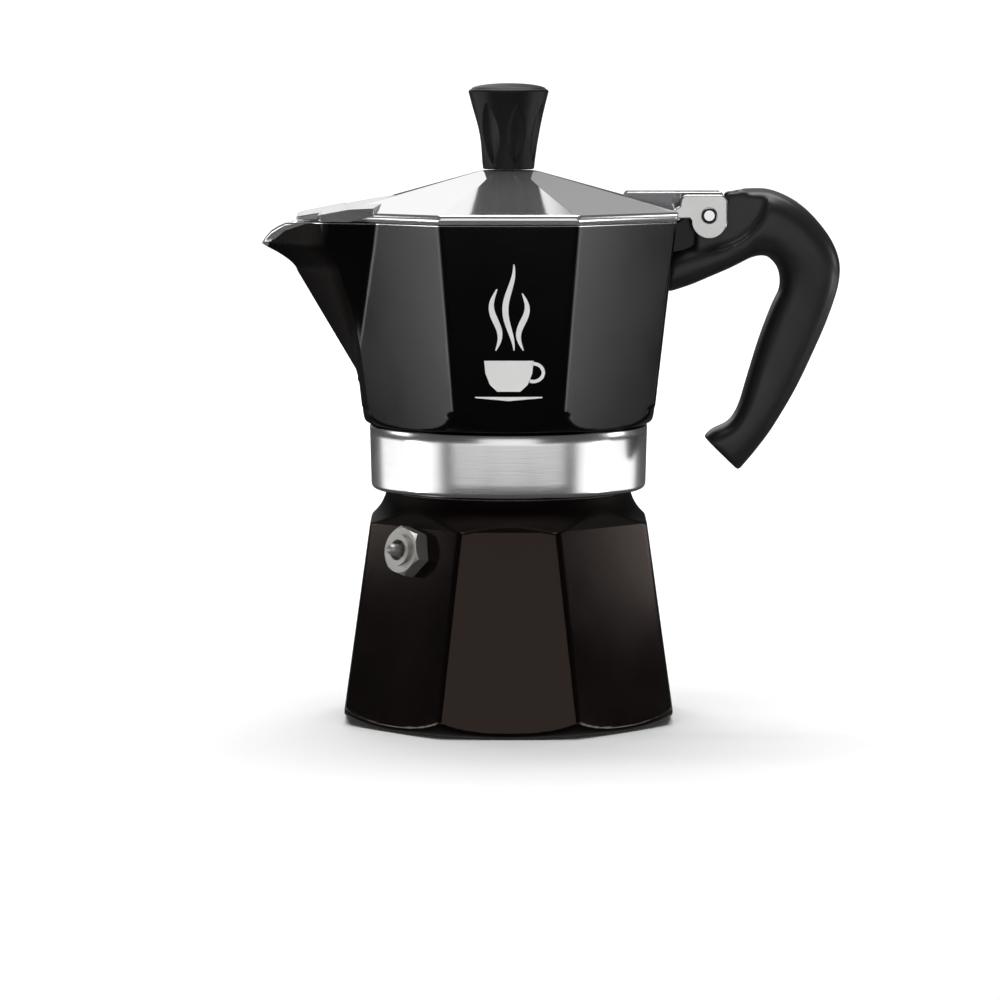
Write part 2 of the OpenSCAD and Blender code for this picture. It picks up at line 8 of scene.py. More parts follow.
import bmesh
import bpy
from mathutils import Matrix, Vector


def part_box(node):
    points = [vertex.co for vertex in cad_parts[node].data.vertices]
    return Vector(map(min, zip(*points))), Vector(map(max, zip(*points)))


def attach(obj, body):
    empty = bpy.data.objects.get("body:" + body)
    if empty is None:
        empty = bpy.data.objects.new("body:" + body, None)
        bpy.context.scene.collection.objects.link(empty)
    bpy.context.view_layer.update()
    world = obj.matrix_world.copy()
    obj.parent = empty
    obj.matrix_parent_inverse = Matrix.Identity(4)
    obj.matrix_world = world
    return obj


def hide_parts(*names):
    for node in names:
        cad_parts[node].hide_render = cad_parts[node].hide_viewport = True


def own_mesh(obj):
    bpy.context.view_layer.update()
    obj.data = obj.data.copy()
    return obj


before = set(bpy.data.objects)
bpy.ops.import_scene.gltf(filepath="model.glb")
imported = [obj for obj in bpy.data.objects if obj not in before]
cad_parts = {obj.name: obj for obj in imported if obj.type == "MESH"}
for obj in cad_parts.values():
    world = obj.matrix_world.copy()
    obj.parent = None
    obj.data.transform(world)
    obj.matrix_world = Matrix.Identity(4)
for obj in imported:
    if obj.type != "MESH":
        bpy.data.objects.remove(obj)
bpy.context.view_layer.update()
log = logging.getLogger("moka_pot")

MM = 0.001
Pair = tuple[float, float]
Point = tuple[float, float, float]
Row = list[Point]


# ---- small maths

def mix(a: float, b: float, t: float) -> float:
    """Value a fraction t of the way from a to b."""
    return a + (b - a) * t


def clamp(v: float, low: float = 0.0, high: float = 1.0) -> float:
    """v held between low and high."""
    return max(low, min(high, v))


def soft_min(a: float, b: float, blend: float) -> float:
    """Smaller of two sizes, with the crossing rounded over blend."""
    near = max(blend - abs(a - b), 0.0) / blend
    return min(a, b) - near * near * blend / 4


def soft_max(a: float, b: float, blend: float) -> float:
    """Larger of two sizes, with the crossing rounded over blend."""
    return -soft_min(-a, -b, blend)


def along(knots: Sequence[Pair], at: float) -> float:
    """Reads a curve through knots, eased between them, at one place.

    Args:
        knots: (place, value) pairs in rising order of place.
        at: the place to read.

    Returns:
        The value there, held level beyond both ends.
    """
    if at <= knots[0][0]:
        return knots[0][1]
    for (x0, y0), (x1, y1) in zip(knots, knots[1:]):
        if at <= x1:
            return mix(y0, y1, (at - x0) / (x1 - x0))
    return knots[-1][1]


def steps(start: float, end: float, count: int) -> list[float]:
    """Count + 1 even steps from start to end."""
    return [mix(start, end, i / count) for i in range(count + 1)]


# ---- finishes

def linear(hex_colour: str) -> tuple[float, float, float, float]:
    """Turns an sRGB hex colour into linear RGBA.

    Args:
        hex_colour: such as "#c0c0c0".

    Returns:
        Red, green, blue and alpha, 0 to 1.
    """
    parts = [int(hex_colour[i:i + 2], 16) / 255 for i in (1, 3, 5)]
    curved = [p / 12.92 if p <= 0.04045 else ((p + 0.055) / 1.055) ** 2.4 for p in parts]
    return (*curved, 1.0)


def add(tree: bpy.types.NodeTree, kind: str, settings: dict[str, object] | None = None,
        **links: object) -> bpy.types.Node:
    """Adds a node with its settings and links.

    Args:
        tree: the material's node tree.
        kind: the node's type name.
        settings: attributes of the node, such as an operation.
        links: input name (with _ for a space) to an output to link, or to a plain value.

    Returns:
        The new node.
    """
    node = tree.nodes.new(kind)
    for key, value in (settings or {}).items():
        setattr(node, key, value)
    for key, value in links.items():
        name = int(key[1:]) if key[0] == "_" else key.replace("_", " ")
        socket = node.inputs[name]
        if isinstance(value, bpy.types.NodeSocket):
            tree.links.new(value, socket)
        else:
            socket.default_value = value
    return node


class Grain(Enum):
    """How a surface was made, which sets the way its fine relief runs."""

    BLASTED = "even, fine and without direction"
    TURNED = "rings round the vertical axis"
    DRAWN = "long scratches along X"
    MOULDED = "very shallow orange peel"


@dataclass(frozen=True)
class Finish:
    """One real material and how its surface was made.

    Attributes:
        name: plain name of the finish.
        tint: main colour, sRGB hex.
        worn: second colour that drifts through the first.
        metallic: 1 for bare metal, 0 for paint, plastic and rubber.
        roughness: middle of the roughness.
        spread: how far roughness wanders either way.
        grain: direction of the relief.
        grain_mm: size of one grain or scratch.
        relief: strength of the bump.
        specular: specular level of a coating or plastic.
        stretch: how much anisotropy the brushing gives.
        glint: colour of the highlight on paint or plastic.
    """

    name: str
    tint: str
    worn: str
    metallic: float
    roughness: float
    spread: float
    grain: Grain
    grain_mm: float
    relief: float
    specular: float = 0.5
    stretch: float = 0.0
    glint: str = "#ffffff"

    def material(self) -> bpy.types.Material:
        """Builds the finish once and returns it.

        Returns:
            The material, made at its first use.
        """
        made = bpy.data.materials.get(self.name)
        if made:
            return made
        made = bpy.data.materials.new(self.name)
        made.use_nodes = True
        tree = made.node_tree
        tree.nodes.clear()
        place = add(tree, "ShaderNodeTexCoord").outputs["Object"]
        squeeze = {Grain.TURNED: (0.02, 0.02, 1.0), Grain.DRAWN: (0.03, 1.0, 1.0)}.get(self.grain, (1, 1, 1))
        grid = add(tree, "ShaderNodeMapping", Vector=place, Scale=squeeze).outputs[0]
        per_metre = 1 / (self.grain_mm * MM)
        fine = add(tree, "ShaderNodeTexNoise", Vector=grid, Scale=per_metre, Detail=4.0, Roughness=0.6)
        drift = add(tree, "ShaderNodeTexNoise", Vector=place, Scale=60.0, Detail=3.0, Roughness=0.5)
        shade = add(tree, "ShaderNodeMix", {"data_type": "RGBA"}, _0=drift.outputs[0],
                    _6=linear(self.tint), _7=linear(self.worn))
        blend = add(tree, "ShaderNodeMath", {"operation": "ADD"}, _0=fine.outputs[0], _1=drift.outputs[0])
        rough = add(tree, "ShaderNodeMapRange", Value=blend.outputs[0], From_Min=0.7, From_Max=1.3,
                    To_Min=max(0.02, self.roughness - self.spread), To_Max=self.roughness + self.spread)
        bump = add(tree, "ShaderNodeBump", Strength=self.relief, Distance=self.grain_mm * MM * 0.3,
                   Height=fine.outputs[0])
        shader = add(tree, "ShaderNodeBsdfPrincipled", Base_Color=shade.outputs[2], Metallic=self.metallic,
                     Roughness=rough.outputs[0], Normal=bump.outputs[0])
        if not self.metallic:
            shader.inputs["Specular IOR Level"].default_value = self.specular
            shader.inputs["Specular Tint"].default_value = linear(self.glint)
        if self.stretch:
            shader.inputs["Anisotropic"].default_value = self.stretch
            turn = add(tree, "ShaderNodeTangent", {"direction_type": "RADIAL", "axis": "Z"})
            tree.links.new(turn.outputs[0], shader.inputs["Tangent"])
        out = add(tree, "ShaderNodeOutputMaterial", Surface=shader.outputs[0])
        out.location = (400, 0)
        return made


# Silicone enamel over blasted casting: a deep, even black with a faint, clean sheen.
BLACK_COAT = Finish("black_silicone_coat", "#010101", "#020202", 0.0, 0.15, 0.03, Grain.BLASTED, 0.35, 0.03,
                    specular=0.25)
# The same enamel fired a little warmer on the boiler: almost black, with a brown cast.
BROWN_COAT = Finish("warm_black_coat", "#020101", "#030202", 0.0, 0.115, 0.03, Grain.BLASTED, 0.35, 0.03,
                    specular=0.31, glint="#ffe0d4")
# Painted shade: a matt copy of the black enamel with weak reflections, laid in the boiler's cove and on the
# spout's coated faces so that they read dead black.
SHADED_COAT = Finish("shaded_black_coat", "#030202", "#040303", 0.0, 0.5, 0.05, Grain.BLASTED, 0.35, 0.05,
                  specular=0.12, glint="#ffe0d4")
# Polished and lightly satined aluminium: bright, with soft mirror images.
POLISHED = Finish("polished_aluminium", "#e9e9ea", "#dfdfe0", 1.0, 0.2, 0.04, Grain.DRAWN, 0.3, 0.05)
# Aluminium of the ears and the spout's roof, tumbled but never buffed: an even, duller grey.
PRESSED = Finish("pressed_aluminium", "#d4d4d3", "#cbcbca", 1.0, 0.24, 0.04, Grain.BLASTED, 0.3, 0.06)
# Aluminium turned on a lathe: fine rings that smear highlights up and down.
TURNED = Finish("turned_aluminium", "#f0f0f0", "#e9e9ea", 1.0, 0.2, 0.03, Grain.TURNED, 0.25, 0.05, stretch=0.6)
# As-cast aluminium inside the vessels: pale grey and fine-grained.
CAST = Finish("blasted_cast_aluminium", "#c4c4c5", "#b4b4b6", 1.0, 0.42, 0.07, Grain.BLASTED, 0.4, 0.25)
# Spun sheet: thin, even circular marks.
SHEET = Finish("spun_aluminium_sheet", "#cfcfd0", "#c2c2c4", 1.0, 0.32, 0.05, Grain.TURNED, 0.3, 0.1,
               stretch=0.4)
# Compression-moulded phenolic: satin black, slightly grey where light grazes it.
PHENOLIC = Finish("moulded_phenolic", "#191918", "#1e1e1d", 0.0, 0.37, 0.05, Grain.MOULDED, 0.5, 0.06,
                  specular=0.6)
# The knob's own moulding: a deeper black with less sheen.
KNOB_PHENOLIC = Finish("knob_phenolic", "#0c0c0c", "#111111", 0.0, 0.42, 0.05, Grain.MOULDED, 0.5, 0.06,
                       specular=0.3)
# Turned steel of the valve and pins.
STEEL = Finish("turned_steel", "#c4c2be", "#b2b0ac", 0.85, 0.4, 0.06, Grain.BLASTED, 0.25, 0.1)
# Free-machining brass of the knob's insert.
BRASS = Finish("turned_brass", "#c9a254", "#b58e44", 1.0, 0.25, 0.05, Grain.TURNED, 0.25, 0.08)
# Moulded silicone rings.
WHITE_RUBBER = Finish("white_silicone", "#e6e2d8", "#dcd7cb", 0.0, 0.5, 0.05, Grain.MOULDED, 0.6, 0.08)
RED_RUBBER = Finish("red_silicone", "#8c2a1c", "#7c2418", 0.0, 0.5, 0.05, Grain.MOULDED, 0.4, 0.08)
# Screen-printed ink of the emblem: matt and opaque.
WHITE_INK = Finish("white_screen_ink", "#f4f4f2", "#ececea", 0.0, 0.55, 0.05, Grain.MOULDED, 0.3, 0.05)
# Seamless paper of the studio: matt white.
PAPER = Finish("white_paper", "#fafafa", "#f8f8f8", 0.0, 0.85, 0.02, Grain.BLASTED, 2.0, 0.02, specular=0.0)


# ---- mesh helpers

def new_piece(name: str, verts: Sequence[Point], faces: Sequence[Sequence[int]], marks: Sequence[int],
              finishes: Sequence[Finish]) -> bpy.types.Object:
    """Makes a smooth mesh object from points in millimetres.

    Args:
        name: the piece's name.
        verts: points in millimetres.
        faces: corner indices of each face.
        marks: each face's index into finishes.
        finishes: the finishes on the piece.

    Returns:
        The linked object.
    """
    mesh = bpy.data.meshes.new(name)
    mesh.from_pydata([(x * MM, y * MM, z * MM) for x, y, z in verts], [], [list(f) for f in faces])
    for finish in finishes:
        mesh.materials.append(finish.material())
    mesh.polygons.foreach_set("material_index", list(marks))
    mesh.polygons.foreach_set("use_smooth", [True] * len(mesh.polygons))
    mesh.update()
    piece = bpy.data.objects.new(name, mesh)
    bpy.context.scene.collection.objects.link(piece)
    return piece


def skin(name: str, rows: Sequence[Row], finishes: Sequence[Finish], mark: Callable[[int], int] = lambda r: 0,
         cap_first: bool = True, cap_last: bool = True) -> bpy.types.Object:
    """Skins closed rows of equal length, each counter-clockwise about the way the rows go.

    Args:
        name: the piece's name.
        rows: the rows, first to last.
        finishes: the finishes on the piece.
        mark: gives the finish index of the band between row r and the next.
        cap_first: closes the first row with a fan.
        cap_last: closes the last row with a fan.

    Returns:
        The piece.
    """
    n = len(rows[0])
    verts = [p for row in rows for p in row]
    faces, marks = [], []
    for r in range(len(rows) - 1):
        for i in range(n):
            j = (i + 1) % n
            faces.append((r * n + i, r * n + j, (r + 1) * n + j, (r + 1) * n + i))
            marks.append(mark(r))
    for wanted, r, flip in ((cap_first, 0, True), (cap_last, len(rows) - 1, False)):
        if not wanted:
            continue
        middle = tuple(sum(p[k] for p in rows[r]) / n for k in range(3))
        verts.append(middle)
        for i in range(n):
            a, b = r * n + i, r * n + (i + 1) % n
            faces.append((len(verts) - 1, b, a) if flip else (len(verts) - 1, a, b))
            marks.append(mark(min(r, len(rows) - 2)))
    return new_piece(name, verts, faces, marks, finishes)


def polar_row(angles: Sequence[float], radius: Callable[[float], float],
              height: Callable[[float], float]) -> Row:
    """One closed row of points round the Z axis.

    Args:
        angles: directions, in radians.
        radius: distance from the axis in a direction.
        height: height in a direction.

    Returns:
        The points, in millimetres.
    """
    row = []
    for a in angles:
        r = radius(a)
        row.append((r * math.cos(a), r * math.sin(a), height(a)))
    return row


def flat_row(angles: Sequence[float], r: float, z: float) -> Row:
    """A circle of radius r at height z."""
    return polar_row(angles, lambda a: r, lambda a: z)


def flat_rows(angles: Sequence[float], *sizes: Pair) -> list[Row]:
    """Level rows round the Z axis, one for each radius and height."""
    return [flat_row(angles, r, z) for r, z in sizes]


def wall_rows(heights: Sequence[float], radius: Callable[[float, float], float]) -> list[Row]:
    """Rows at even directions, one at each height, whose radius depends on direction and height."""
    return [polar_row(EVEN, lambda a, z=z: radius(a, z), lambda a, z=z: z) for z in heights]


def thread_part(angle: float, rise: float, pitch: float) -> float:
    """How much of a thread's depth stands at one place.

    Args:
        angle: direction from the axis, in radians.
        rise: height over the thread's start.
        pitch: rise of one turn.

    Returns:
        0 at the root and 1 on the crest, faded at both ends of the thread.
    """
    part = 0.0
    for lap in (0, 1):
        turned = (angle % (2 * math.pi)) / (2 * math.pi) + lap
        if turned <= THREAD_TURNS:
            fade = clamp(min(turned, THREAD_TURNS - turned) / THREAD_FADE)
            part = max(part, fade * clamp((THREAD_HALF - abs(rise - pitch * turned)) / THREAD_FLANK))
    return part


def facet_radius(angle: float, main: float, half: float, blend: float) -> float:
    """Distance from the axis to an eight-sided wall.

    Args:
        angle: direction from the axis, in radians.
        main: distance to the four main facets.
        half: half width of the main facets.
        blend: how far the edges are rounded.

    Returns:
        The distance to the wall along that direction.
    """
    corner = (main + half) / math.sqrt(2)
    turn = angle % (math.pi / 2)
    turn = min(turn, math.pi / 2 - turn)
    flat = main / math.cos(turn)
    slant = corner / math.cos(math.pi / 4 - turn)
    return soft_min(flat, slant, blend)


def soften(piece: bpy.types.Object, width_mm: float, segments: int = 3, angle: float = 32) -> bpy.types.Object:
    """Rounds a piece's sharp edges and keeps its flats flat.

    Args:
        piece: the piece.
        width_mm: how far an edge is rounded.
        segments: steps across the round.
        angle: edges sharper than this, in degrees, are rounded.

    Returns:
        The piece.
    """
    bevel = piece.modifiers.new("edge_round", "BEVEL")
    bevel.width = width_mm * MM
    bevel.segments = segments
    bevel.limit_method = "ANGLE"
    bevel.angle_limit = math.radians(angle)
    bevel.harden_normals = True
    piece.data.polygons.foreach_set("use_smooth", [True] * len(piece.data.polygons))
    return piece


def face_outward(piece: bpy.types.Object) -> None:
    """Turns every face of a closed piece outwards.

    Args:
        piece: the piece.
    """
    fix = bmesh.new()
    fix.from_mesh(piece.data)
    bmesh.ops.recalc_face_normals(fix, faces=fix.faces)
    fix.to_mesh(piece.data)
    fix.free()


def prism(name: str, outline: Sequence[Pair], y_low: float, y_high: float,
          finish: Finish, edge: float, draft: float = 0.0) -> bpy.types.Object:
    """A flat outline in X and Z, made solid along Y, with rounded edges.

    Args:
        name: the piece's name.
        outline: the outline's corners.
        y_low: where the solid starts.
        y_high: where it ends.
        finish: what it is made of.
        edge: how far the edges are rounded.
        draft: how much each side leans in over the outline's height, towards its foot.

    Returns:
        The piece.
    """
    n = len(outline)
    top = max(z for _, z in outline)
    tall = top - min(z for _, z in outline)
    verts = [(x, y + math.copysign(draft * (top - z) / tall, -y) if draft else y, z)
             for y in (y_low, y_high) for x, z in outline]
    faces = [tuple(range(n)), tuple(range(2 * n - 1, n - 1, -1))]
    faces += [(i, i + n, (i + 1) % n + n, (i + 1) % n) for i in range(n)]
    piece = new_piece(name, verts, faces, [0] * len(faces), [finish])
    face_outward(piece)
    return soften(piece, edge) if edge else piece


def settle(piece: bpy.types.Object) -> None:
    """Turns a piece's modifiers into its own mesh.

    Args:
        piece: the piece.
    """
    bpy.context.view_layer.update()
    shape = piece.evaluated_get(bpy.context.evaluated_depsgraph_get())
    mesh = bpy.data.meshes.new_from_object(shape)
    piece.modifiers.clear()
    piece.data = mesh


def cut(piece: bpy.types.Object, tool: bpy.types.Object, operation: str = "DIFFERENCE") -> None:
    """Cuts a tool out of a piece, or joins it on, and removes the tool.

    Args:
        piece: what is cut.
        tool: what cuts it, or joins it.
        operation: the boolean operation.
    """
    step = piece.modifiers.new("cut", "BOOLEAN")
    step.operation = operation
    step.object = tool
    step.solver = "EXACT"
    settle(piece)
    bpy.data.objects.remove(tool)


def rod(radius: float, x: float, z: float, y_low: float, y_high: float) -> bpy.types.Object:
    """A round bar along Y, used as a cutting tool.

    Args:
        radius: its radius.
        x: its middle in X.
        z: its middle in Z.
        y_low: where it starts.
        y_high: where it ends.

    Returns:
        The tool.
    """
    rows = [[(x + radius * math.cos(a), y, z + radius * math.sin(a)) for a in steps(0, 2 * math.pi, 96)[:-1]]
            for y in (y_high, y_low)]
    return skin("rod_tool", rows, [PHENOLIC])


def place(piece: bpy.types.Object, body: str, slot: str, *nodes: str) -> bpy.types.Object:
    """Puts a piece on its body, hides the CAD nodes it stands for and logs them.

    Args:
        piece: the piece.
        body: the body it rides on.
        slot: its material slot in the record; not used.
        nodes: CAD nodes it stands for.

    Returns:
        The piece.
    """
    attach(piece, body)
    if nodes:
        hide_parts(*nodes)
    log.info("%s rides on %s and stands for %s", piece.name, body, nodes or "nothing")
    return piece


def box_mm(node: str) -> tuple[Vector, Vector]:
    """Lowest and highest corner of a CAD node, in millimetres."""
    low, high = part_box(node)
    return low / MM, high / MM


def middle_z(node: str) -> float:
    """Height of the middle of a CAD node's box, in millimetres."""
    low, high = box_mm(node)
    return (low.z + high.z) / 2


def both_sides(near: float, far: float) -> list[Pair]:
    """Low and high Y of a layer between two distances, on the front and the back."""
    return [(-far, -near), (near, far)]


EVEN = [math.radians(a * 0.75) for a in range(480)]

# The thread of neck and band, in turns and millimetres, and where the hinge pin stands.
THREAD_TURNS = 1.75
THREAD_FADE = 0.1
THREAD_HALF = 1.19
THREAD_FLANK = 0.7
PIN_X = 49.9


# ---- boiler

@dataclass
class Boiler:
    """Faceted lower vessel with its turned cove, threaded neck and bare inside."""

    base_main: float = 41.6
    base_half: float = 17.4
    waist_main: float = 34.7
    waist_half: float = 11.9
    edge_round: float = 0.7
    shoulder: float = 50.0
    base_round: float = 8.0
    flat_r: float = 37.7
    cove: float = 10.6
    cove_sink: float = 0.9
    cove_bands: int = 33
    neck_r: float = 30.6
    root_r: float = 29.8
    crest_r: float = 31.0
    mouth_r: float = 27.0
    pitch: float = 3.5
    thread_z: float = 61.5
    bare_from: float = 57.7

    def outer(self, angle: float, z: float) -> float:
        """Radius of the coated outside at a height.

        Args:
            angle: direction from the axis, in radians.
            z: height.

        Returns:
            The radius.
        """
        t = z / self.shoulder
        r = facet_radius(angle, mix(self.base_main, self.waist_main, t),
                         mix(self.base_half, self.waist_half, t), self.edge_round)
        if z < self.base_round:
            drop = self.base_round - z
            r = soft_min(r, self.flat_r + math.sqrt(max(self.base_round ** 2 - drop ** 2, 0)), 0.6)
        low = self.shoulder - self.cove_sink
        if z > low - 1:
            rise = clamp(low + self.cove - z, 0, self.cove)
            cove = self.neck_r + self.cove - math.sqrt(self.cove ** 2 - rise ** 2)
            if z < low:
                cove = self.neck_r + self.cove + (low - z) * 4
            r = soft_min(r, cove, 0.45)
        return r

    def threaded(self, angle: float, z: float) -> float:
        """Radius of the neck where it carries the thread."""
        return mix(self.root_r, self.crest_r, thread_part(angle, z - self.thread_z, self.pitch))

    def build(self) -> None:
        """Builds the shell from its outside, over the rim and down to its floor."""
        top = box_mm("boiler")[1].z
        rows = flat_rows(EVEN, (20, 0.6), (33, 0.6), (34, 0))
        heights = [0, 0.15, 0.4, 0.8] + steps(1.3, 9, 14) + steps(10, 48, 24) + steps(48.4, self.bare_from, 40)
        coat_rows = len(rows) + len(heights)
        rows += wall_rows(heights, self.outer)
        rows += flat_rows(EVEN, (self.neck_r, 58.3), (self.root_r + 0.2, 58.6))
        rows += wall_rows(steps(58.8, top - 0.5, 44), self.threaded)
        rows += flat_rows(EVEN, (self.root_r - 0.5, top), (self.mouth_r + 0.4, top), (self.mouth_r, top - 0.4),
                          (self.mouth_r, 53.5), (27.2, 52.6), (29.6, 46), (33.8, 27), (37.6, 8.5), (37.3, 6.5),
                          (36, 4.6), (33.8, 3.3), (32, 3), (12, 3))
        # Painted shade: the cove's rows take the matt, weakly reflecting copy of the coat.
        cove_rows = range(coat_rows - self.cove_bands, coat_rows - 1)
        shell = skin("boiler_shell", rows, [BROWN_COAT, CAST, SHADED_COAT],
                     lambda r: 2 if r in cove_rows else 0 if 1 < r < coat_rows - 1 else 1)
        place(shell, "boiler", "dark_cast_aluminium", "boiler")


# ---- collector

@dataclass
class Collector:
    """Upper vessel: turned band, faceted coated cup, spout with a bare lip and hinge lug."""

    low_main: float = 36.0
    low_half: float = 12.7
    rim_main: float = 41.6
    rim_half: float = 16.7
    wall: float = 2.4
    spout_wall: float = 2.0
    reach: float = 62.1
    crease_out: Pair = (37.6, 33.0)
    crease_half: Pair = (13.2, 25.5)
    drop: float = 39.5
    bend_drop: float = 12.5
    lip_drop: float = 6.5
    beak_out: float = 8.9
    tip_round: float = 1.2
    foot_round: float = 5.0
    band_h: float = 16.0
    band_r: float = 35.0
    bore_r: float = 31.3
    nut_crest: float = 30.1
    lead: float = 1.55
    pitch: float = 3.5
    spout_half: float = math.radians(23)

    def __post_init__(self) -> None:
        """Takes the heights from the frame."""
        self.band_z = box_mm("collector")[0].z
        self.cup_z = self.band_z + self.band_h
        self.rim_z = self.band_z + 67.3
        self.floor_z = box_mm("filter_plate")[1].z + 2.6
        self.foot_z = self.rim_z - self.drop
        self.angles = self.spread_angles()

    @staticmethod
    def spread_angles() -> list[float]:
        """Directions round the cup, close together across the spout's beak.

        Returns:
            The directions, in radians.
        """
        coarse = [math.radians(a) for a in steps(-150, 150, 400)[:-1]]
        fine = [math.radians(a) for a in steps(150, 210, 240)[:-1]]
        return coarse + fine

    def keel(self, z: float) -> float:
        """Reach of the spout's underside at a height.

        Args:
            z: height.

        Returns:
            Distance from the axis.
        """
        bend, lip = self.rim_z - self.bend_drop, self.rim_z - self.lip_drop
        root, tip = self.reach - self.beak_out, self.reach - self.tip_round
        foot = mix(self.low_main, self.rim_main, (self.foot_z - self.cup_z) / (self.rim_z - self.cup_z))
        if z < bend:
            return mix(foot, root, clamp((z - self.foot_z) / (bend - self.foot_z)))
        if z < lip:
            return mix(root, tip, ((z - bend) / (lip - bend)) ** 1.6)
        return mix(tip, self.reach, clamp((z - lip) / 0.8))

    def beak(self, z: float, inset: float) -> list[Pair]:
        """Half outline of the spout in plan at a height, from the crease to the keel.

        Args:
            z: height.
            inset: how far inside the outer face.

        Returns:
            Points (out along the spout, half width).
        """
        t = clamp((z - self.foot_z) / self.drop)
        x0 = mix(*self.crease_out, t)
        y0 = mix(*self.crease_half, t) - inset
        x1 = max(self.keel(z) - inset * 1.7, x0 + 0.2)
        shape = [(-0.35, 1.12), (0, 1), (0.24, 0.9), (0.48, 0.78), (0.6, 0.6), (0.7, 0.4), (0.86, 0.16), (1, 0)]
        points = [(mix(x0, x1, u) if u >= 0 else x0 - 8, y0 * v) for u, v in shape]
        for _ in range(2):
            cut = [points[0]]
            for a, b in zip(points, points[1:]):
                cut += [(mix(a[0], b[0], q), mix(a[1], b[1], q)) for q in (0.25, 0.75)]
            points = cut + [points[-1]]
        return points

    def spout_radius(self, angle: float, outline: list[Pair]) -> float:
        """Distance from the axis to the spout's wall, or nothing where it has none.

        Args:
            angle: direction from the axis, in radians.
            outline: half outline at that height.

        Returns:
            The distance, or 0.
        """
        off = abs(angle % (2 * math.pi) - math.pi)
        dx, dy = math.cos(off), math.sin(off)
        for (ax, ay), (bx, by) in zip(outline, outline[1:]):
            side_a, side_b = ay * dx - ax * dy, by * dx - bx * dy
            if side_a >= 0 > side_b or (side_a > 0 >= side_b):
                t = side_a / (side_a - side_b)
                return math.hypot(mix(ax, bx, t), mix(ay, by, t))
        return 0.0 if off > 0.1 else outline[-1][0]

    def wall_radius(self, angle: float, z: float, inset: float, outlines: dict) -> float:
        """Radius of the cup's outside (inset 0) or inside at a height.

        Args:
            angle: direction from the axis, in radians.
            z: height.
            inset: how far inside the outer face.
            outlines: half outlines already worked out, by height and inset.

        Returns:
            The radius.
        """
        t = (z - self.cup_z) / (self.rim_z - self.cup_z)
        trim = inset * (math.sqrt(2) - 1)
        r = facet_radius(angle, mix(self.low_main, self.rim_main, t) - inset,
                         mix(self.low_half, self.rim_half, t) - trim, 0.6)
        if z > self.foot_z and math.cos(angle) < -0.5:
            key = (round(z, 4), inset)
            if key not in outlines:
                outlines[key] = self.beak(z, min(inset, self.spout_wall))
            r = soft_max(r, self.spout_radius(angle, outlines[key]), 0.35)
        rise = z - self.cup_z
        if inset == 0 and rise < self.foot_round + 1:
            below = max(self.foot_round - rise, 0)
            turned = self.low_main - 3 + math.sqrt(max(self.foot_round ** 2 - below ** 2, 0))
            r = soft_min(r, turned + max(rise - self.foot_round, 0) * 2, 0.5)
        return r

    def lip_z(self, angle: float, outlines: dict) -> float:
        """Height of the lip, which falls towards the spout's tip.

        Args:
            angle: direction from the axis, in radians.
            outlines: half outlines already worked out.

        Returns:
            The height.
        """
        x = -self.wall_radius(angle, self.rim_z, 0, outlines) * math.cos(angle)
        fall = [(-11, 0), (-6.1, 0.3), (-3.9, 1.3), (-2.6, 2.1), (-1.1, 3.8), (0, 5.6)]
        return self.rim_z - along(fall, x - self.reach)

    def paint_z(self, angle: float, outlines: dict) -> float:
        """Height at which the coat stops below the lip.

        Args:
            angle: direction from the axis, in radians.
            outlines: half outlines already worked out.

        Returns:
            The height.
        """
        x = -self.wall_radius(angle, self.rim_z, 0, outlines) * math.cos(angle)
        bare = [(-12.5, 0.15), (-6.4, 2.0), (-3.5, 3.0), (-1.2, 2.5), (0, 1.0)]
        return self.lip_z(angle, outlines) - along(bare, x - self.reach)

    def cup(self) -> bpy.types.Object:
        """The faceted cup, from under its rounded foot, over the lip and down to its floor.

        Returns:
            The piece.
        """
        seen: dict = {}
        angles = self.angles
        lips = [self.lip_z(a, seen) for a in angles]
        paints = [self.paint_z(a, seen) for a in angles]

        def level(low: Sequence[float], high: Sequence[float], t: float, inset: float) -> Row:
            """A row a fraction t of the way up between two heights that vary round the cup.

            Args:
                low: lower height in each direction.
                high: upper height in each direction.
                t: fraction of the way up.
                inset: how far inside the outer face.

            Returns:
                The row.
            """
            row = []
            for i, a in enumerate(angles):
                z = mix(low[i], high[i], t)
                r = self.wall_radius(a, z, inset, seen)
                row.append((r * math.cos(a), r * math.sin(a), z))
            return row

        n = len(angles)
        foot = [self.cup_z + 0.02] * n
        foot_top = [self.cup_z + 6] * n
        rows = [flat_row(angles, 32, self.cup_z)]
        rows += [level(foot, foot_top, t, 0) for t in steps(0, 1, 14)]
        rows += [level(foot_top, paints, t, 0) for t in steps(0, 1, 52)[1:]]
        coated = len(rows)
        rows += [level(paints, lips, t, 0) for t in (0.3, 0.6, 0.9)]
        edge_out = level(paints, lips, 1, 0)
        edge_in = level(paints, lips, 1, self.wall)
        for t, sink in ((0.12, 0.05), (0.25, 0), (0.75, 0), (0.88, 0.05), (1.0, 0.3)):
            rows.append([tuple(mix(p[k], q[k], t) - (sink if k == 2 else 0) for k in range(3))
                         for p, q in zip(edge_out, edge_in)])
        polished = len(rows)
        floors = [self.floor_z + 2.2] * n
        rows += [level(lips, floors, t, self.wall) for t in steps(0.01, 1, 40)]
        rows += [level(lips, [self.floor_z + lift] * n, 1, self.wall + inset)
                 for lift, inset in ((0.9, 0.5), (0.2, 1.4), (0, 2.6))]
        rows += flat_rows(angles, (27, self.floor_z), (24, self.floor_z + 0.2), (10, self.floor_z + 3.6),
                          (8, self.floor_z + 5), (5.6, self.floor_z + 5))
        piece = skin("collector_cup", rows, [BLACK_COAT, CAST, POLISHED, SHADED_COAT],
                     lambda r: 0 if r < coated - 1 else (2 if r < polished else 1))
        # Painted shade: coated faces towards the spout take the matt, weakly reflecting copy of the coat.
        for face in piece.data.polygons:
            off = abs(math.atan2(face.center.y, -face.center.x))
            if face.material_index == 0 and off < self.spout_half:
                face.material_index = 3
        return piece

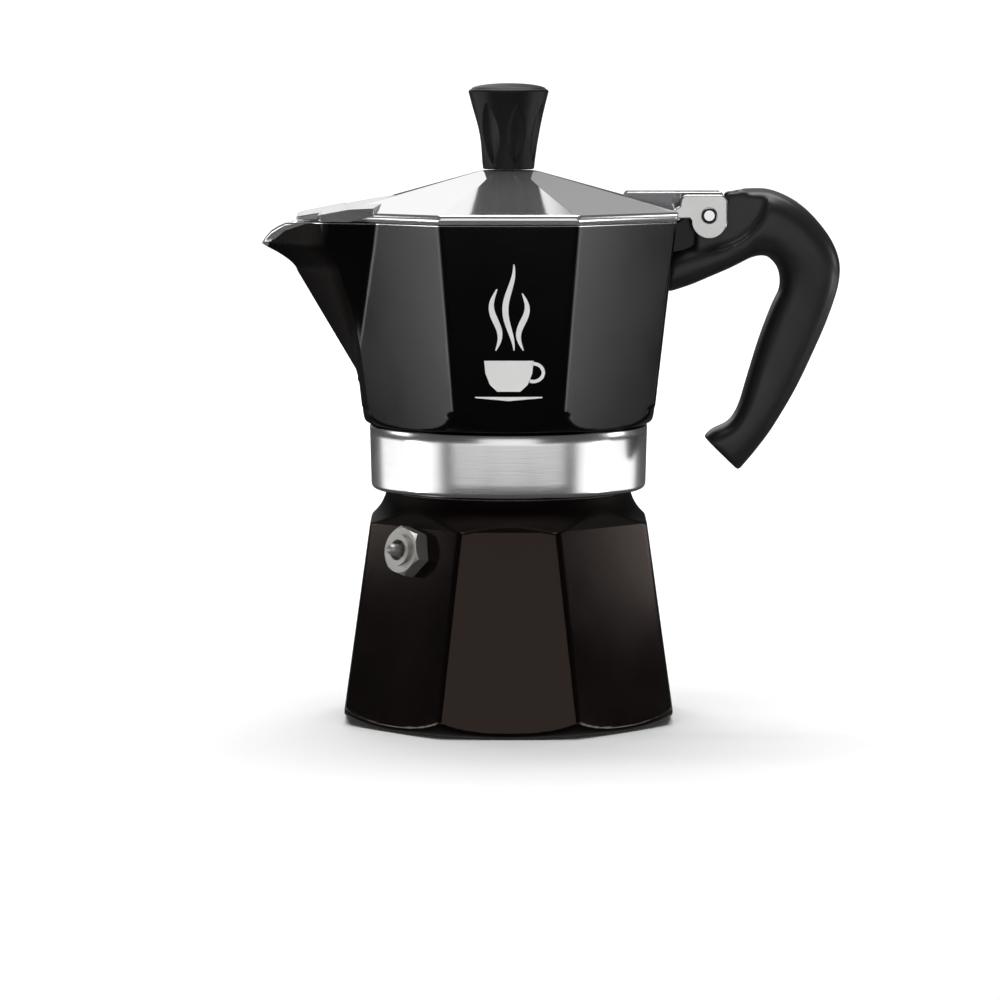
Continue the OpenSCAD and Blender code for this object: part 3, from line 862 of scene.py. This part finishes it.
    def nut(self, angle: float, z: float) -> float:
        """Radius of the band's bore where it carries the inner thread."""
        return mix(self.bore_r, self.nut_crest, thread_part(angle, z - self.band_z - self.lead, self.pitch))

    def band(self) -> bpy.types.Object:
        """The bare turned band, with its rounded lower edge and threaded bore.

        Returns:
            The piece.
        """
        low, top = self.band_z, self.cup_z
        ceiling = box_mm("filter_plate")[0].z
        seat = 28.2
        rows = flat_rows(EVEN, (6, ceiling + 2.1), (23.5, ceiling + 0.9), (seat, ceiling + 0.8),
                         (seat, ceiling), (self.bore_r, ceiling))
        rows += wall_rows(steps(low + 11, low + 0.4, 44), self.nut)
        rows += flat_rows(EVEN, (self.bore_r + 0.4, low), (self.band_r - 1.6, low))
        turned = len(rows) - 1
        for turn in steps(-80, 0, 8):
            a = math.radians(turn)
            rows.append(flat_row(EVEN, self.band_r - 1.7 + 1.3 * math.cos(a), low + 1.3 + 1.3 * math.sin(a)))
        rows += [flat_row(EVEN, mix(self.band_r - 0.37, self.band_r, t), mix(low + 1.6, top - 0.3, t))
                 for t in steps(0, 1, 6)]
        rows += flat_rows(EVEN, (self.band_r - 0.1, top - 0.08), (self.band_r - 0.35, top + 0.02),
                          (33, top + 0.1), (31.5, top + 0.6))
        return skin("collector_band", rows, [TURNED, CAST], lambda r: 0 if r >= turned else 1,
                    cap_first=False, cap_last=False)

    def lug(self) -> bpy.types.Object:
        """The narrow hinge lug between the handle's cheeks.

        Returns:
            The piece.
        """
        pin_z, eye = self.rim_z + 1.5, 3.3
        start, end = math.radians(132), math.radians(-48)
        outline = [(self.rim_main - 2, pin_z - 10), (PIN_X - 2, pin_z - 8.5)]
        outline += [(PIN_X + eye * math.cos(a), pin_z + eye * math.sin(a)) for a in steps(end, start, 18)]
        outline += [(self.rim_main + 1, self.rim_z - 0.2), (self.rim_main - 2, self.rim_z - 0.2)]
        return prism("hinge_lug", outline, -3, 3, BLACK_COAT, 0.4)

    def emblem(self) -> bpy.types.Object:
        """A plain printed cup with three threads of steam on the front facet.

        Returns:
            The piece.
        """
        slope = (self.rim_main - self.low_main) / (self.rim_z - self.cup_z)
        verts: list[Point] = []
        faces: list[tuple[int, ...]] = []

        def on_facet(u: float, z: float) -> Point:
            """A point of the print, a hair in front of the front facet."""
            return (u, -(self.low_main + (z - self.cup_z) * slope) - 0.04, z)

        def ribbon(line: list[Pair], widths: list[float]) -> None:
            """A printed stroke of changing width along a line.

            Args:
                line: points across and up the facet.
                widths: half width at each point.
            """
            first = len(verts)
            for i, (u, z) in enumerate(line):
                a, b = line[max(i - 1, 0)], line[min(i + 1, len(line) - 1)]
                span = math.hypot(b[0] - a[0], b[1] - a[1])
                nu, nz = -(b[1] - a[1]) / span * widths[i], (b[0] - a[0]) / span * widths[i]
                verts.extend((on_facet(u + nu, z + nz), on_facet(u - nu, z - nz)))
            for i in range(len(line) - 1):
                k = first + 2 * i
                faces.append((k, k + 1, k + 3, k + 2))

        base = self.cup_z + 10
        cup = [(-6.0, 8.5), (-5.7, 5.4), (-4.6, 2.6), (-2.8, 0.9)]
        cup += [(-u, z) for u, z in reversed(cup)]
        first = len(verts)
        verts.extend(on_facet(u, base + z) for u, z in cup)
        faces.append(tuple(range(first, first + len(cup))))
        ribbon([(-8.2, base - 0.5), (0, base - 0.9), (8.2, base - 0.5)], [0.15, 0.5, 0.15])
        ring = [(5.9 + 2.5 * math.cos(a), base + 5.6 + 2.2 * math.sin(a)) for a in steps(1.7, -1.9, 14)]
        ribbon(ring, [0.42] * len(ring))
        for u0, height, shift in ((-3.2, 15, 0.0), (0.2, 21, 1.6), (3.4, 14, 3.0)):
            line = [(u0 + 1.05 * math.sin(t * 6.6 + shift), base + 11 + t * height) for t in steps(0, 1, 28)]
            ribbon(line, [0.12 + 0.62 * math.sin(math.pi * t) ** 0.8 for t in steps(0, 1, 28)])
        piece = new_piece("front_emblem", verts, faces, [0] * len(faces), [WHITE_INK])
        fix = bmesh.new()
        fix.from_mesh(piece.data)
        bmesh.ops.triangulate(fix, faces=[f for f in fix.faces if len(f.verts) > 4])
        for f in fix.faces:
            if f.normal.y > 0:
                f.normal_flip()
        fix.to_mesh(piece.data)
        fix.free()
        return piece

    def build(self) -> None:
        """Builds every piece of the collector."""
        slot = "black_painted_aluminium"
        place(self.cup(), "collector", slot, "collector")
        place(self.band(), "collector", "bare_aluminium")
        place(self.lug(), "collector", slot)
        place(self.emblem(), "collector", "white_rubber")


# ---- lid

@dataclass
class Lid:
    """Polished eight-sided lid with a spout roof, hinge bridge and two ears."""

    main: float = 42.0
    half: float = 16.8
    rim_t: float = 2.2
    wall: float = 1.8
    seat_r: float = 6.5
    pin_x: float = PIN_X
    ear_out: float = 11.0
    ear_t: float = 2.5
    bridge_half: float = 6.5

    def __post_init__(self) -> None:
        """Takes the heights from the frame."""
        self.low_z = box_mm("collector")[0].z + 67.6
        self.top_z = box_mm("knob")[0].z - 0.2
        self.pin_z = middle_z("hinge_pin")

    def reach(self, x: float, y: float) -> float:
        """Distance from the axis, as if every facet stood as far out as the front one."""
        return math.hypot(x, y) * self.main / facet_radius(math.atan2(y, x), self.main, self.half, 0.5)

    def height(self, x: float, y: float) -> float:
        """Height of the lid's top surface.

        Args:
            x: place in X.
            y: place in Y.

        Returns:
            The height.
        """
        slope = (self.top_z - self.low_z - self.rim_t) / (self.main - self.seat_r)
        return soft_min(self.top_z, self.top_z - slope * (self.reach(x, y) - self.seat_r), 0.5)

    def edge(self, angle: float) -> float:
        """Distance from the axis to the lid's outline."""
        return facet_radius(angle, self.main, self.half, 0.4)

    def inside(self, x: float, y: float) -> float:
        """Height of a surface that lies within the shell, and on the lid's foot outside the outline.

        Args:
            x: place in X.
            y: place in Y.

        Returns:
            The height.
        """
        if self.reach(x, y) > self.main + 0.3:
            return self.low_z
        return max(self.low_z + 0.4, self.height(x, y) - self.wall / 3)

    def roof(self, name: str, sections: Sequence[tuple[float, float, float, float]],
             edge: float) -> bpy.types.Object:
        """A ridge over the spout, through cross-sections.

        Args:
            name: the piece's name.
            sections: distance out, half width, and the sides' and ridge's height over the lid's foot.
            edge: how far its edges are rounded.

        Returns:
            The piece.
        """
        rows = []
        across = steps(1, -1, 16)
        for out, half, side, ridge in sections:
            over = [(-out, half * t, self.low_z + mix(ridge, side, abs(t))) for t in across]
            under = [(-out, half * t, self.inside(-out, half * t)) for t in reversed(across)]
            rows.append(over + under)
        piece = skin(name, rows, [PRESSED])
        face_outward(piece)
        return soften(piece, edge, 3, 20)

    def cover(self) -> bpy.types.Object:
        """The shell of the lid.

        Returns:
            The outer shell; the inner one is placed already.
        """
        angles = [math.radians(a) for a in steps(0, 360, 576)[:-1]]
        rims = [self.edge(a) for a in angles]
        round_r = 0.45

        def ring(shrink: float, part: float, lift: Callable[[float, float], float]) -> Row:
            """A row a fraction of the way out to the outline less a shrink, with its own height rule.

            Args:
                shrink: how far inside the outline.
                part: fraction of the way out.
                lift: height at a place.

            Returns:
                The row.
            """
            row = []
            for a, rim in zip(angles, rims):
                r = (rim - shrink) * part
                x, y = r * math.cos(a), r * math.sin(a)
                row.append((x, y, lift(x, y)))
            return row

        rows = [ring(round_r, 0.985, lambda x, y: self.low_z), ring(0.25, 1, lambda x, y: self.low_z),
                ring(0, 1, lambda x, y: self.low_z + 0.25),
                ring(0, 1, lambda x, y: self.height(x, y) - round_r - 0.05),
                ring(round_r * 0.29, 1, lambda x, y: self.height(x, y) - round_r * 0.29)]
        rows += [ring(round_r, t, self.height) for t in steps(1, 0.9, 12) + steps(0.89, 0.1, 70)]
        under = [ring(self.wall, t, lambda x, y: max(self.height(x, y) - self.wall, self.low_z + 0.02))
                 for t in steps(0.1, 1, 40)]
        under.append(ring(self.wall - 0.3, 1, lambda x, y: self.low_z))
        outer = skin("lid_cover", rows, [POLISHED], cap_first=False)
        inner = skin("lid_inside", under, [CAST], cap_first=True, cap_last=False)
        place(inner, "lid", "polished_aluminium")
        inner.data.flip_normals()
        return outer

    def ear(self, name: str, y_low: float, y_high: float) -> bpy.types.Object:
        """One ear, rounded below, joined to the rim and bored with a clear ring round the pin.

        Args:
            name: the piece's name.
            y_low: where it starts.
            y_high: where it ends.

        Returns:
            The piece.
        """
        x, z = self.pin_x, self.pin_z
        lobe = [(x + 4.5 * math.cos(a), z - 1.4 + 4.5 * math.sin(a)) for a in steps(math.pi, 2 * math.pi, 28)]
        right = [(x + 2.6 + 1.9 * math.cos(a), z + 3.3 + 1.9 * math.sin(a)) for a in steps(0, math.pi / 2, 8)]
        left = [(x - 5.4 + 1.7 * math.cos(a), z + 3.5 + 1.7 * math.sin(a))
                for a in steps(math.pi / 2, math.pi, 8)]
        root = [(x - 7.3, z + 2.4), (self.main - 1.5, z + 1.1), (self.main - 1.5, z - 0.8), (x - 4.9, z - 0.8)]
        piece = prism(name, lobe + right + left + root, y_low, y_high, PRESSED, 0)
        cut(piece, rod(1.72, x, z, y_low - 1, y_high + 1))
        return soften(piece, 0.4)

    def hinge(self) -> list[bpy.types.Object]:
        """The bridge from the lid over the hinge and the two ears.

        Returns:
            The bridge and both ears.
        """
        top = self.pin_z + 5.8
        x, z = self.pin_x, self.pin_z
        bridge = [(28.5, self.low_z + 5), (29.5, top), (x + 3.2, top), (x + 3.7, top - 0.5), (x + 3.7, top - 2),
                  (x - 3.6, top - 2), (x - 6.8, z + 2), (x - 6.8, self.low_z + 0.3), (39, self.low_z + 0.3)]
        inner = self.ear_out - self.ear_t
        return [prism("hinge_bridge", bridge, -self.bridge_half, self.bridge_half, POLISHED, 0.35, 1.6),
                self.ear("hinge_ear_front", -self.ear_out, -inner),
                self.ear("hinge_ear_back", inner, self.ear_out)]

    def build(self) -> None:
        """Builds every piece of the lid."""
        place(self.cover(), "lid", "polished_aluminium", "lid")
        # Each section: distance out, half width, and the sides' and ridge's height over the lid's foot.
        wing = [(47.4, 12.5, 1.2, 2.4), (46.4, 19.5, 1.7, 2.8), (39.3, 23.0, 3.1, 4.3), (33.2, 25.8, 3.5, 5.4),
                (28.6, 3.0, 5.7, 6.1)]
        tongue = [(53.1, 4.2, 0.7, 1.5), (52.6, 4.8, 0.9, 1.9), (45.0, 7.5, 2.3, 3.5), (41.0, 8.0, 3.0, 4.2)]
        roofs = [self.roof("spout_roof", wing, 0.3), self.roof("spout_tongue", tongue, 0.25)]
        for piece in roofs + self.hinge():
            place(piece, "lid", "polished_aluminium")


# ---- knob

@dataclass
class Knob:
    """Waisted phenolic knob with seven almond flutes and a domed top."""

    foot_r: float = 6.4
    top_r: float = 10.05
    flutes: int = 7
    flute_depth: float = 0.95
    flute_half: float = 2.55
    flute_foot: float = 1.6
    flute_tall: float = 15.0
    first_flute: float = 284.5
    crown: float = 2.2
    edge_round: float = 0.7

    def profile(self, t: float) -> float:
        """Radius of the plain body a fraction t of the way up."""
        return mix(self.foot_r, self.top_r, mix(t, t * t, 0.45))

    def dent(self, angle: float, z: float, r: float) -> float:
        """Depth of the nearest flute at a point of the body.

        Args:
            angle: direction from the axis, in radians.
            z: height over the knob's foot.
            r: radius of the plain body.

        Returns:
            The depth.
        """
        pitch = 2 * math.pi / self.flutes
        off = (angle - math.radians(self.first_flute) + pitch / 2) % pitch - pitch / 2
        t = clamp((z - self.flute_foot) / self.flute_tall)
        half = self.flute_half * math.sin(math.pi * t) ** 0.75
        if half <= 0:
            return 0.0
        return self.flute_depth * math.sin(math.pi * t) ** 0.5 * clamp(1 - (off * r / half) ** 2)

    def build(self) -> None:
        """Builds the knob."""
        low, high = box_mm("knob")
        tall = high.z - low.z
        side = tall - self.crown
        angles = [math.radians(a) for a in steps(0, 360, 420)[:-1]]
        rows = flat_rows(angles, (self.foot_r - 0.4, low.z), (self.foot_r - 0.1, low.z + 0.1))
        for z in steps(0.35, side, 84):
            r = self.profile(z / side)
            rows.append(polar_row(angles, lambda a, z=z, r=r: r - self.dent(a, z, r), lambda a, z=z: low.z + z))
        for turn in steps(10, 80, 6):
            a = math.radians(turn)
            rows.append(flat_row(angles, self.top_r + self.edge_round * (math.cos(a) - 1),
                                 low.z + side + self.edge_round * math.sin(a)))
        dome = self.crown - self.edge_round
        rows += [flat_row(angles, (self.top_r - self.edge_round) * math.cos(a),
                          low.z + side + self.edge_round + dome * math.sin(a)) for a in steps(0.05, 1.45, 14)]
        place(skin("knob_body", rows, [KNOB_PHENOLIC]), "lid", "black_plastic", "knob")


# ---- handle

@dataclass
class Handle:
    """Moulded side handle: grip, arm that bears on the cup, ear hollows and hinge cheeks."""

    pin_x: float = PIN_X
    cheek_out: float = 8.2
    web_in: float = 6.7
    web_out: float = 8.12
    recess_r: float = 7.2
    ear_recess_r: float = 14.5
    notch_half: float = 6.8
    slot_half: float = 3.05
    squareness: float = 0.62
    voxel: float = 0.5

    def __post_init__(self) -> None:
        """Takes the pin's height and the rim's from the frame."""
        self.pin_z = middle_z("hinge_pin")
        self.rim_z = self.pin_z - 1.5
        # Each station: outer point, inner point (X, and Z over the rim) and half width.
        self.grip = [
            ((54, 7.7), (55, -12.2), 10.2), ((59.4, 8), (59.2, -9.9), 10.4), ((66, 7.7), (63.9, -8.7), 10.4),
            ((73.2, 4.1), (66.5, -10.3), 10.0), ((79.5, -2.5), (67.8, -12.3), 9.5),
            ((82.8, -9), (68.3, -14.9), 9.0), ((83, -15.3), (68, -17.5), 8.6),
            ((80.5, -23.8), (66.2, -21.3), 8.1), ((76.7, -32.9), (63.1, -29.5), 7.7),
            ((72, -42.8), (60.1, -39.3), 7.3), ((66.5, -52.1), (57.9, -46.6), 7.0),
            ((62.8, -57.2), (55.4, -50.5), 6.8), ((59.8, -60.9), (51.4, -52.5), 6.6),
            ((58, -63), (49.3, -54.5), 6.4)]
        self.arm = [
            ((38, -9.6), (38, -18.6), 8.6), ((45.2, -6.6), (45.2, -16.3), 8.8),
            ((49.6, -5.6), (50, -14.3), 9.2), ((54.5, -4), (55.5, -11.9), 9.8), ((60, 0), (60, -9.6), 10.2)]

    def limb(self, name: str, stations: list, finer: int) -> bpy.types.Object:
        """A rounded bar swept through stations, eased between them.

        Args:
            name: the bar's name.
            stations: outer point, inner point and half width of each section.
            finer: steps between stations.

        Returns:
            The bar.
        """

        def spline(values: list[float], i: int, t: float) -> float:
            """Catmull-Rom value between values i and i + 1.

            Args:
                values: one value for each station.
                i: the station before.
                t: fraction of the way to the next.

            Returns:
                The value.
            """
            v = [values[max(0, min(len(values) - 1, i + k))] for k in (-1, 0, 1, 2)]
            return 0.5 * (2 * v[1] + (v[2] - v[0]) * t + (2 * v[0] - 5 * v[1] + 4 * v[2] - v[3]) * t * t
                          + (3 * v[1] - v[0] - 3 * v[2] + v[3]) * t ** 3)

        columns = [[s[0][0] for s in stations], [s[0][1] for s in stations], [s[1][0] for s in stations],
                   [s[1][1] for s in stations], [s[2] for s in stations]]
        rows = []
        for i in range(len(stations) - 1):
            last = i == len(stations) - 2
            for k in range(finer + (1 if last else 0)):
                ox, oz, ix, iz, wide = (spline(c, i, k / finer) for c in columns)
                row = []
                for a in steps(0, 2 * math.pi, 48)[:-1]:
                    up = math.copysign(abs(math.sin(a)) ** self.squareness, math.sin(a))
                    out = math.copysign(abs(math.cos(a)) ** self.squareness, math.cos(a))
                    row.append(((ox + ix) / 2 + (ox - ix) / 2 * up, wide * out,
                                self.rim_z + (oz + iz) / 2 + (oz - iz) / 2 * up))
                rows.append(row)
        return skin(name, rows, [PHENOLIC])

    def build(self) -> None:
        """Moulds the handle as one blended body."""
        body = self.limb("handle_body", self.grip, 5)
        cut(body, self.limb("arm_tool", self.arm, 4), "UNION")
        px, pz, far = self.pin_x, self.pin_z, 30
        cut(body, rod(self.recess_r, px, pz, -self.notch_half, self.notch_half))
        for low, high in both_sides(self.cheek_out, far):
            cut(body, rod(self.ear_recess_r, px + 0.2, pz + 6, low, high))
        notch = [(px - 12, pz - 4.2), (px + 6.9, pz - 4.2), (px + 7.2, pz + 1), (px + 8.9, pz + 12),
                 (px - 12, pz + 12)]
        cut(body, prism("notch_tool", notch, -self.notch_half, self.notch_half, PHENOLIC, 0.01))
        leg = [(px - 3.3, pz), (px - 3.3, pz - 11), (px + 2, pz - 11), (px + 2, pz - 2.6)]
        leg += [(px + 3.3 * math.cos(a), pz + 3.3 * math.sin(a)) for a in steps(-0.9, math.pi, 24)]
        cut(body, prism("cheek_tool", leg, -self.cheek_out, self.cheek_out, PHENOLIC, 0.01), "UNION")
        web = [(px, pz - 9), (px + 9.5, pz - 9), (px + 9.5, pz + 6.2), (px + 4.9, pz + 5.8),
               (px + 3, pz + 1)]
        for low, high in both_sides(self.web_in, self.web_out):
            cut(body, prism("web_tool", web, low, high, PHENOLIC, 0.01), "UNION")
        slot = [(30, pz - 11.4), (px + 4.2, pz - 11.4), (px + 4.2, pz + 20), (30, pz + 20)]
        cut(body, prism("slot_tool", slot, -self.slot_half, self.slot_half, PHENOLIC, 0.01))
        wall = [(20, self.rim_z - 40), (38.2, self.rim_z - 30), (41.65, self.rim_z + 1), (20, self.rim_z + 1)]
        cut(body, prism("wall_tool", wall, -far, far, PHENOLIC, 0.01))
        remesh = body.modifiers.new("mould", "REMESH")
        remesh.mode = "VOXEL"
        remesh.voxel_size = self.voxel * MM
        remesh.use_smooth_shade = True
        smooth = body.modifiers.new("polish", "SMOOTH")
        smooth.factor = 0.5
        smooth.iterations = 18
        settle(body)
        body.data.materials.clear()
        body.data.materials.append(PHENOLIC.material())
        body.data.polygons.foreach_set("use_smooth", [True] * len(body.data.polygons))
        place(body, "collector", "black_plastic", "handle")


# ---- smaller parts kept from the frame

@dataclass
class Hardware:
    """Turned, pressed and moulded parts whose CAD shape stays, with edges and finishes."""

    def build(self) -> None:
        """Gives every kept node its edges and its finish."""
        finishes = {
            "valve_body": (STEEL, 0.15), "valve_stem": (STEEL, 0.1), "valve_seal": (RED_RUBBER, 0.05),
            "valve_collar": (STEEL, 0.05), "funnel_basket": (SHEET, 0.1),
            "funnel_strainer": (SHEET, 0.0), "funnel_tube": (SHEET, 0.1), "gasket": (WHITE_RUBBER, 0.3),
            "filter_plate": (SHEET, 0.0), "column": (CAST, 0.3), "hinge_pin": (POLISHED, 0.25),
            "knob_insert": (BRASS, 0.1), "knob_washer": (STEEL, 0.1), "knob_screw": (STEEL, 0.1)}
        for name, (finish, edge) in finishes.items():
            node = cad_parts[name]
            node.data.materials.clear()
            node.data.materials.append(finish.material())
            if edge:
                soften(node, edge, 2, 40)
            log.info("%s keeps its shape, in %s", name, finish.name)


@dataclass
class Spring:
    """Coil spring of the safety valve, which the opening disc squeezes against the collar."""

    wire: float = 0.33
    coil_r: float = 2.05
    turns: int = 5
    past_seal: float = 1.45
    short_of_collar: float = 0.75
    keep: float = 0.77

    def build(self) -> None:
        """Winds the coil between the disc and the collar."""
        seal, collar = ((low + high) / 2 for low, high in (box_mm("valve_seal"), box_mm("valve_collar")))
        axis = (collar - seal).normalized()
        across = axis.orthogonal().normalized()
        along_other = axis.cross(across)
        start, end = seal + axis * self.past_seal, collar - axis * self.short_of_collar
        rows = []
        for turn in steps(0, 2 * math.pi * self.turns, 24 * self.turns):
            out = across * math.cos(turn) + along_other * math.sin(turn)
            middle = start.lerp(end, turn / (2 * math.pi * self.turns)) + out * self.coil_r
            rows.append([tuple(middle + (out * math.cos(a) - axis * math.sin(a)) * self.wire)
                         for a in steps(0, 2 * math.pi, 12)[:-1]])
        piece = place(skin("valve_coil", rows, [STEEL]), "boiler", "valve_steel", "valve_spring")
        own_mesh(piece)


# ---- studio

@dataclass
class Studio:
    """Pale floor, soft boxes and the camera."""

    eye: Point = (-0.002145, -1.05, 0.1615)
    pitch_down: float = 5.8
    lens: float = 150.2
    ambient: float = 0.07

    def soft_box(self, name: str, at: Point, aim: Point, size: Pair, glow: float) -> None:
        """Adds one rectangular soft light.

        Args:
            name: the light's name.
            at: its middle, in metres.
            aim: the point it faces.
            size: its width and height, in metres.
            glow: how bright its face looks, where 1 is paper white.
        """
        lamp = bpy.data.lights.new(name, "AREA")
        lamp.shape = "RECTANGLE"
        lamp.size, lamp.size_y = size
        lamp.energy = math.pi * size[0] * size[1] * glow
        holder = bpy.data.objects.new(name, lamp)
        holder.location = at
        holder.rotation_euler = (Vector(aim) - Vector(at)).to_track_quat("-Z", "Y").to_euler()
        holder.visible_camera = False
        bpy.context.scene.collection.objects.link(holder)

    def floor(self) -> None:
        """Adds the pale paper: a floor that turns up into a backdrop far behind the pot."""
        half, front, back, bend = 3200, -2600, 2600, 700
        path = [(front, -0.02), (back, -0.02)]
        path += [(back + bend * math.sin(a), bend - bend * math.cos(a) - 0.02)
                 for a in steps(0.1, math.pi / 2, 14)]
        path.append((back + bend, 4200))
        verts = [(side * half, y, z) for y, z in path for side in (-1, 1)]
        faces = [(2 * i, 2 * i + 1, 2 * i + 3, 2 * i + 2) for i in range(len(path) - 1)]
        paper = new_piece("studio_paper", verts, faces, [0] * len(faces), [PAPER])
        paper.visible_glossy = False
        paper.visible_shadow = False

    def camera(self) -> None:
        """Adds the camera at the viewing height, tilted slightly down."""
        lens = bpy.data.cameras.new("studio_camera")
        lens.lens = self.lens
        lens.sensor_width = 36
        lens.clip_end = 50
        eye = bpy.data.objects.new("studio_camera", lens)
        eye.location = self.eye
        eye.rotation_euler = (math.radians(90 - self.pitch_down), 0, 0)
        bpy.context.scene.collection.objects.link(eye)
        bpy.context.scene.camera = eye

    def build(self) -> None:
        """Sets the world, floor, lamps and camera."""
        world = bpy.data.worlds.new("studio_world")
        world.use_nodes = True
        background = world.node_tree.nodes["Background"]
        background.inputs[0].default_value = linear("#ffffff")
        background.inputs[1].default_value = self.ambient
        bpy.context.scene.world = world
        bpy.context.scene.view_settings.view_transform = "Standard"
        self.floor()
        pairs = (("low_bounce", 0.8, -0.0975, -0.063, -0.0975, (0.205, 0.175), 4.6),
                 ("side_fill", 0.8, -0.3525, -0.063, -0.3525, (0.305, 0.175), 1.15),
                 ("rear_bounce", 0.8, 0.34, -0.08, 0, (0.52, 0.17), 1.2),
                 ("front_low", 0.8, -1.15, -0.075, 0, (0.6, 0.15), 0.95))
        for side, word, high in ((-1, "left", 0.15), (1, "right", 0.21)):
            for name, out, y, z, aim_y, size, glow in pairs:
                self.soft_box(f"{name}_{word}", (side * out, y, z), (0, aim_y, z), size, glow)
            self.soft_box(f"high_{word}", (side * 1.0, 0.2, 0.24), (0, 0.2, 0.24), (0.38, high), 2.6)
        self.soft_box("front_panel", (0.0, -1.15, 0.09), (0, 0, 0.09), (1.0, 0.40), 0.95)
        self.soft_box("lid_panel_left", (-0.30, 1.2, 0.735), (0, 0, 0.13), (0.64, 1.03), 1.0)
        self.soft_box("lid_panel_right", (0.35, 1.2, 0.85), (0, 0, 0.13), (0.6, 0.8), 0.28)
        self.soft_box("top_box", (0.0, -0.15, 1.3), (0, -0.15, 0), (1.2, 1.2), 3.35)
        self.soft_box("backdrop_wash", (0.0, 1.2, 2.4), (0, 3.2, 0.4), (3.0, 0.8), 12.0)
        self.camera()


def main() -> None:
    """Builds the pot's sub-assemblies in order, then the studio."""
    logging.basicConfig(level=logging.INFO, format="%(name)s: %(message)s")
    for part in (Studio(), Boiler(), Collector(), Lid(), Knob(), Handle(), Hardware(), Spring()):
        part.build()
        log.info("%s done", type(part).__name__)
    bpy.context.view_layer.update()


if __name__ == "__main__":
    main()
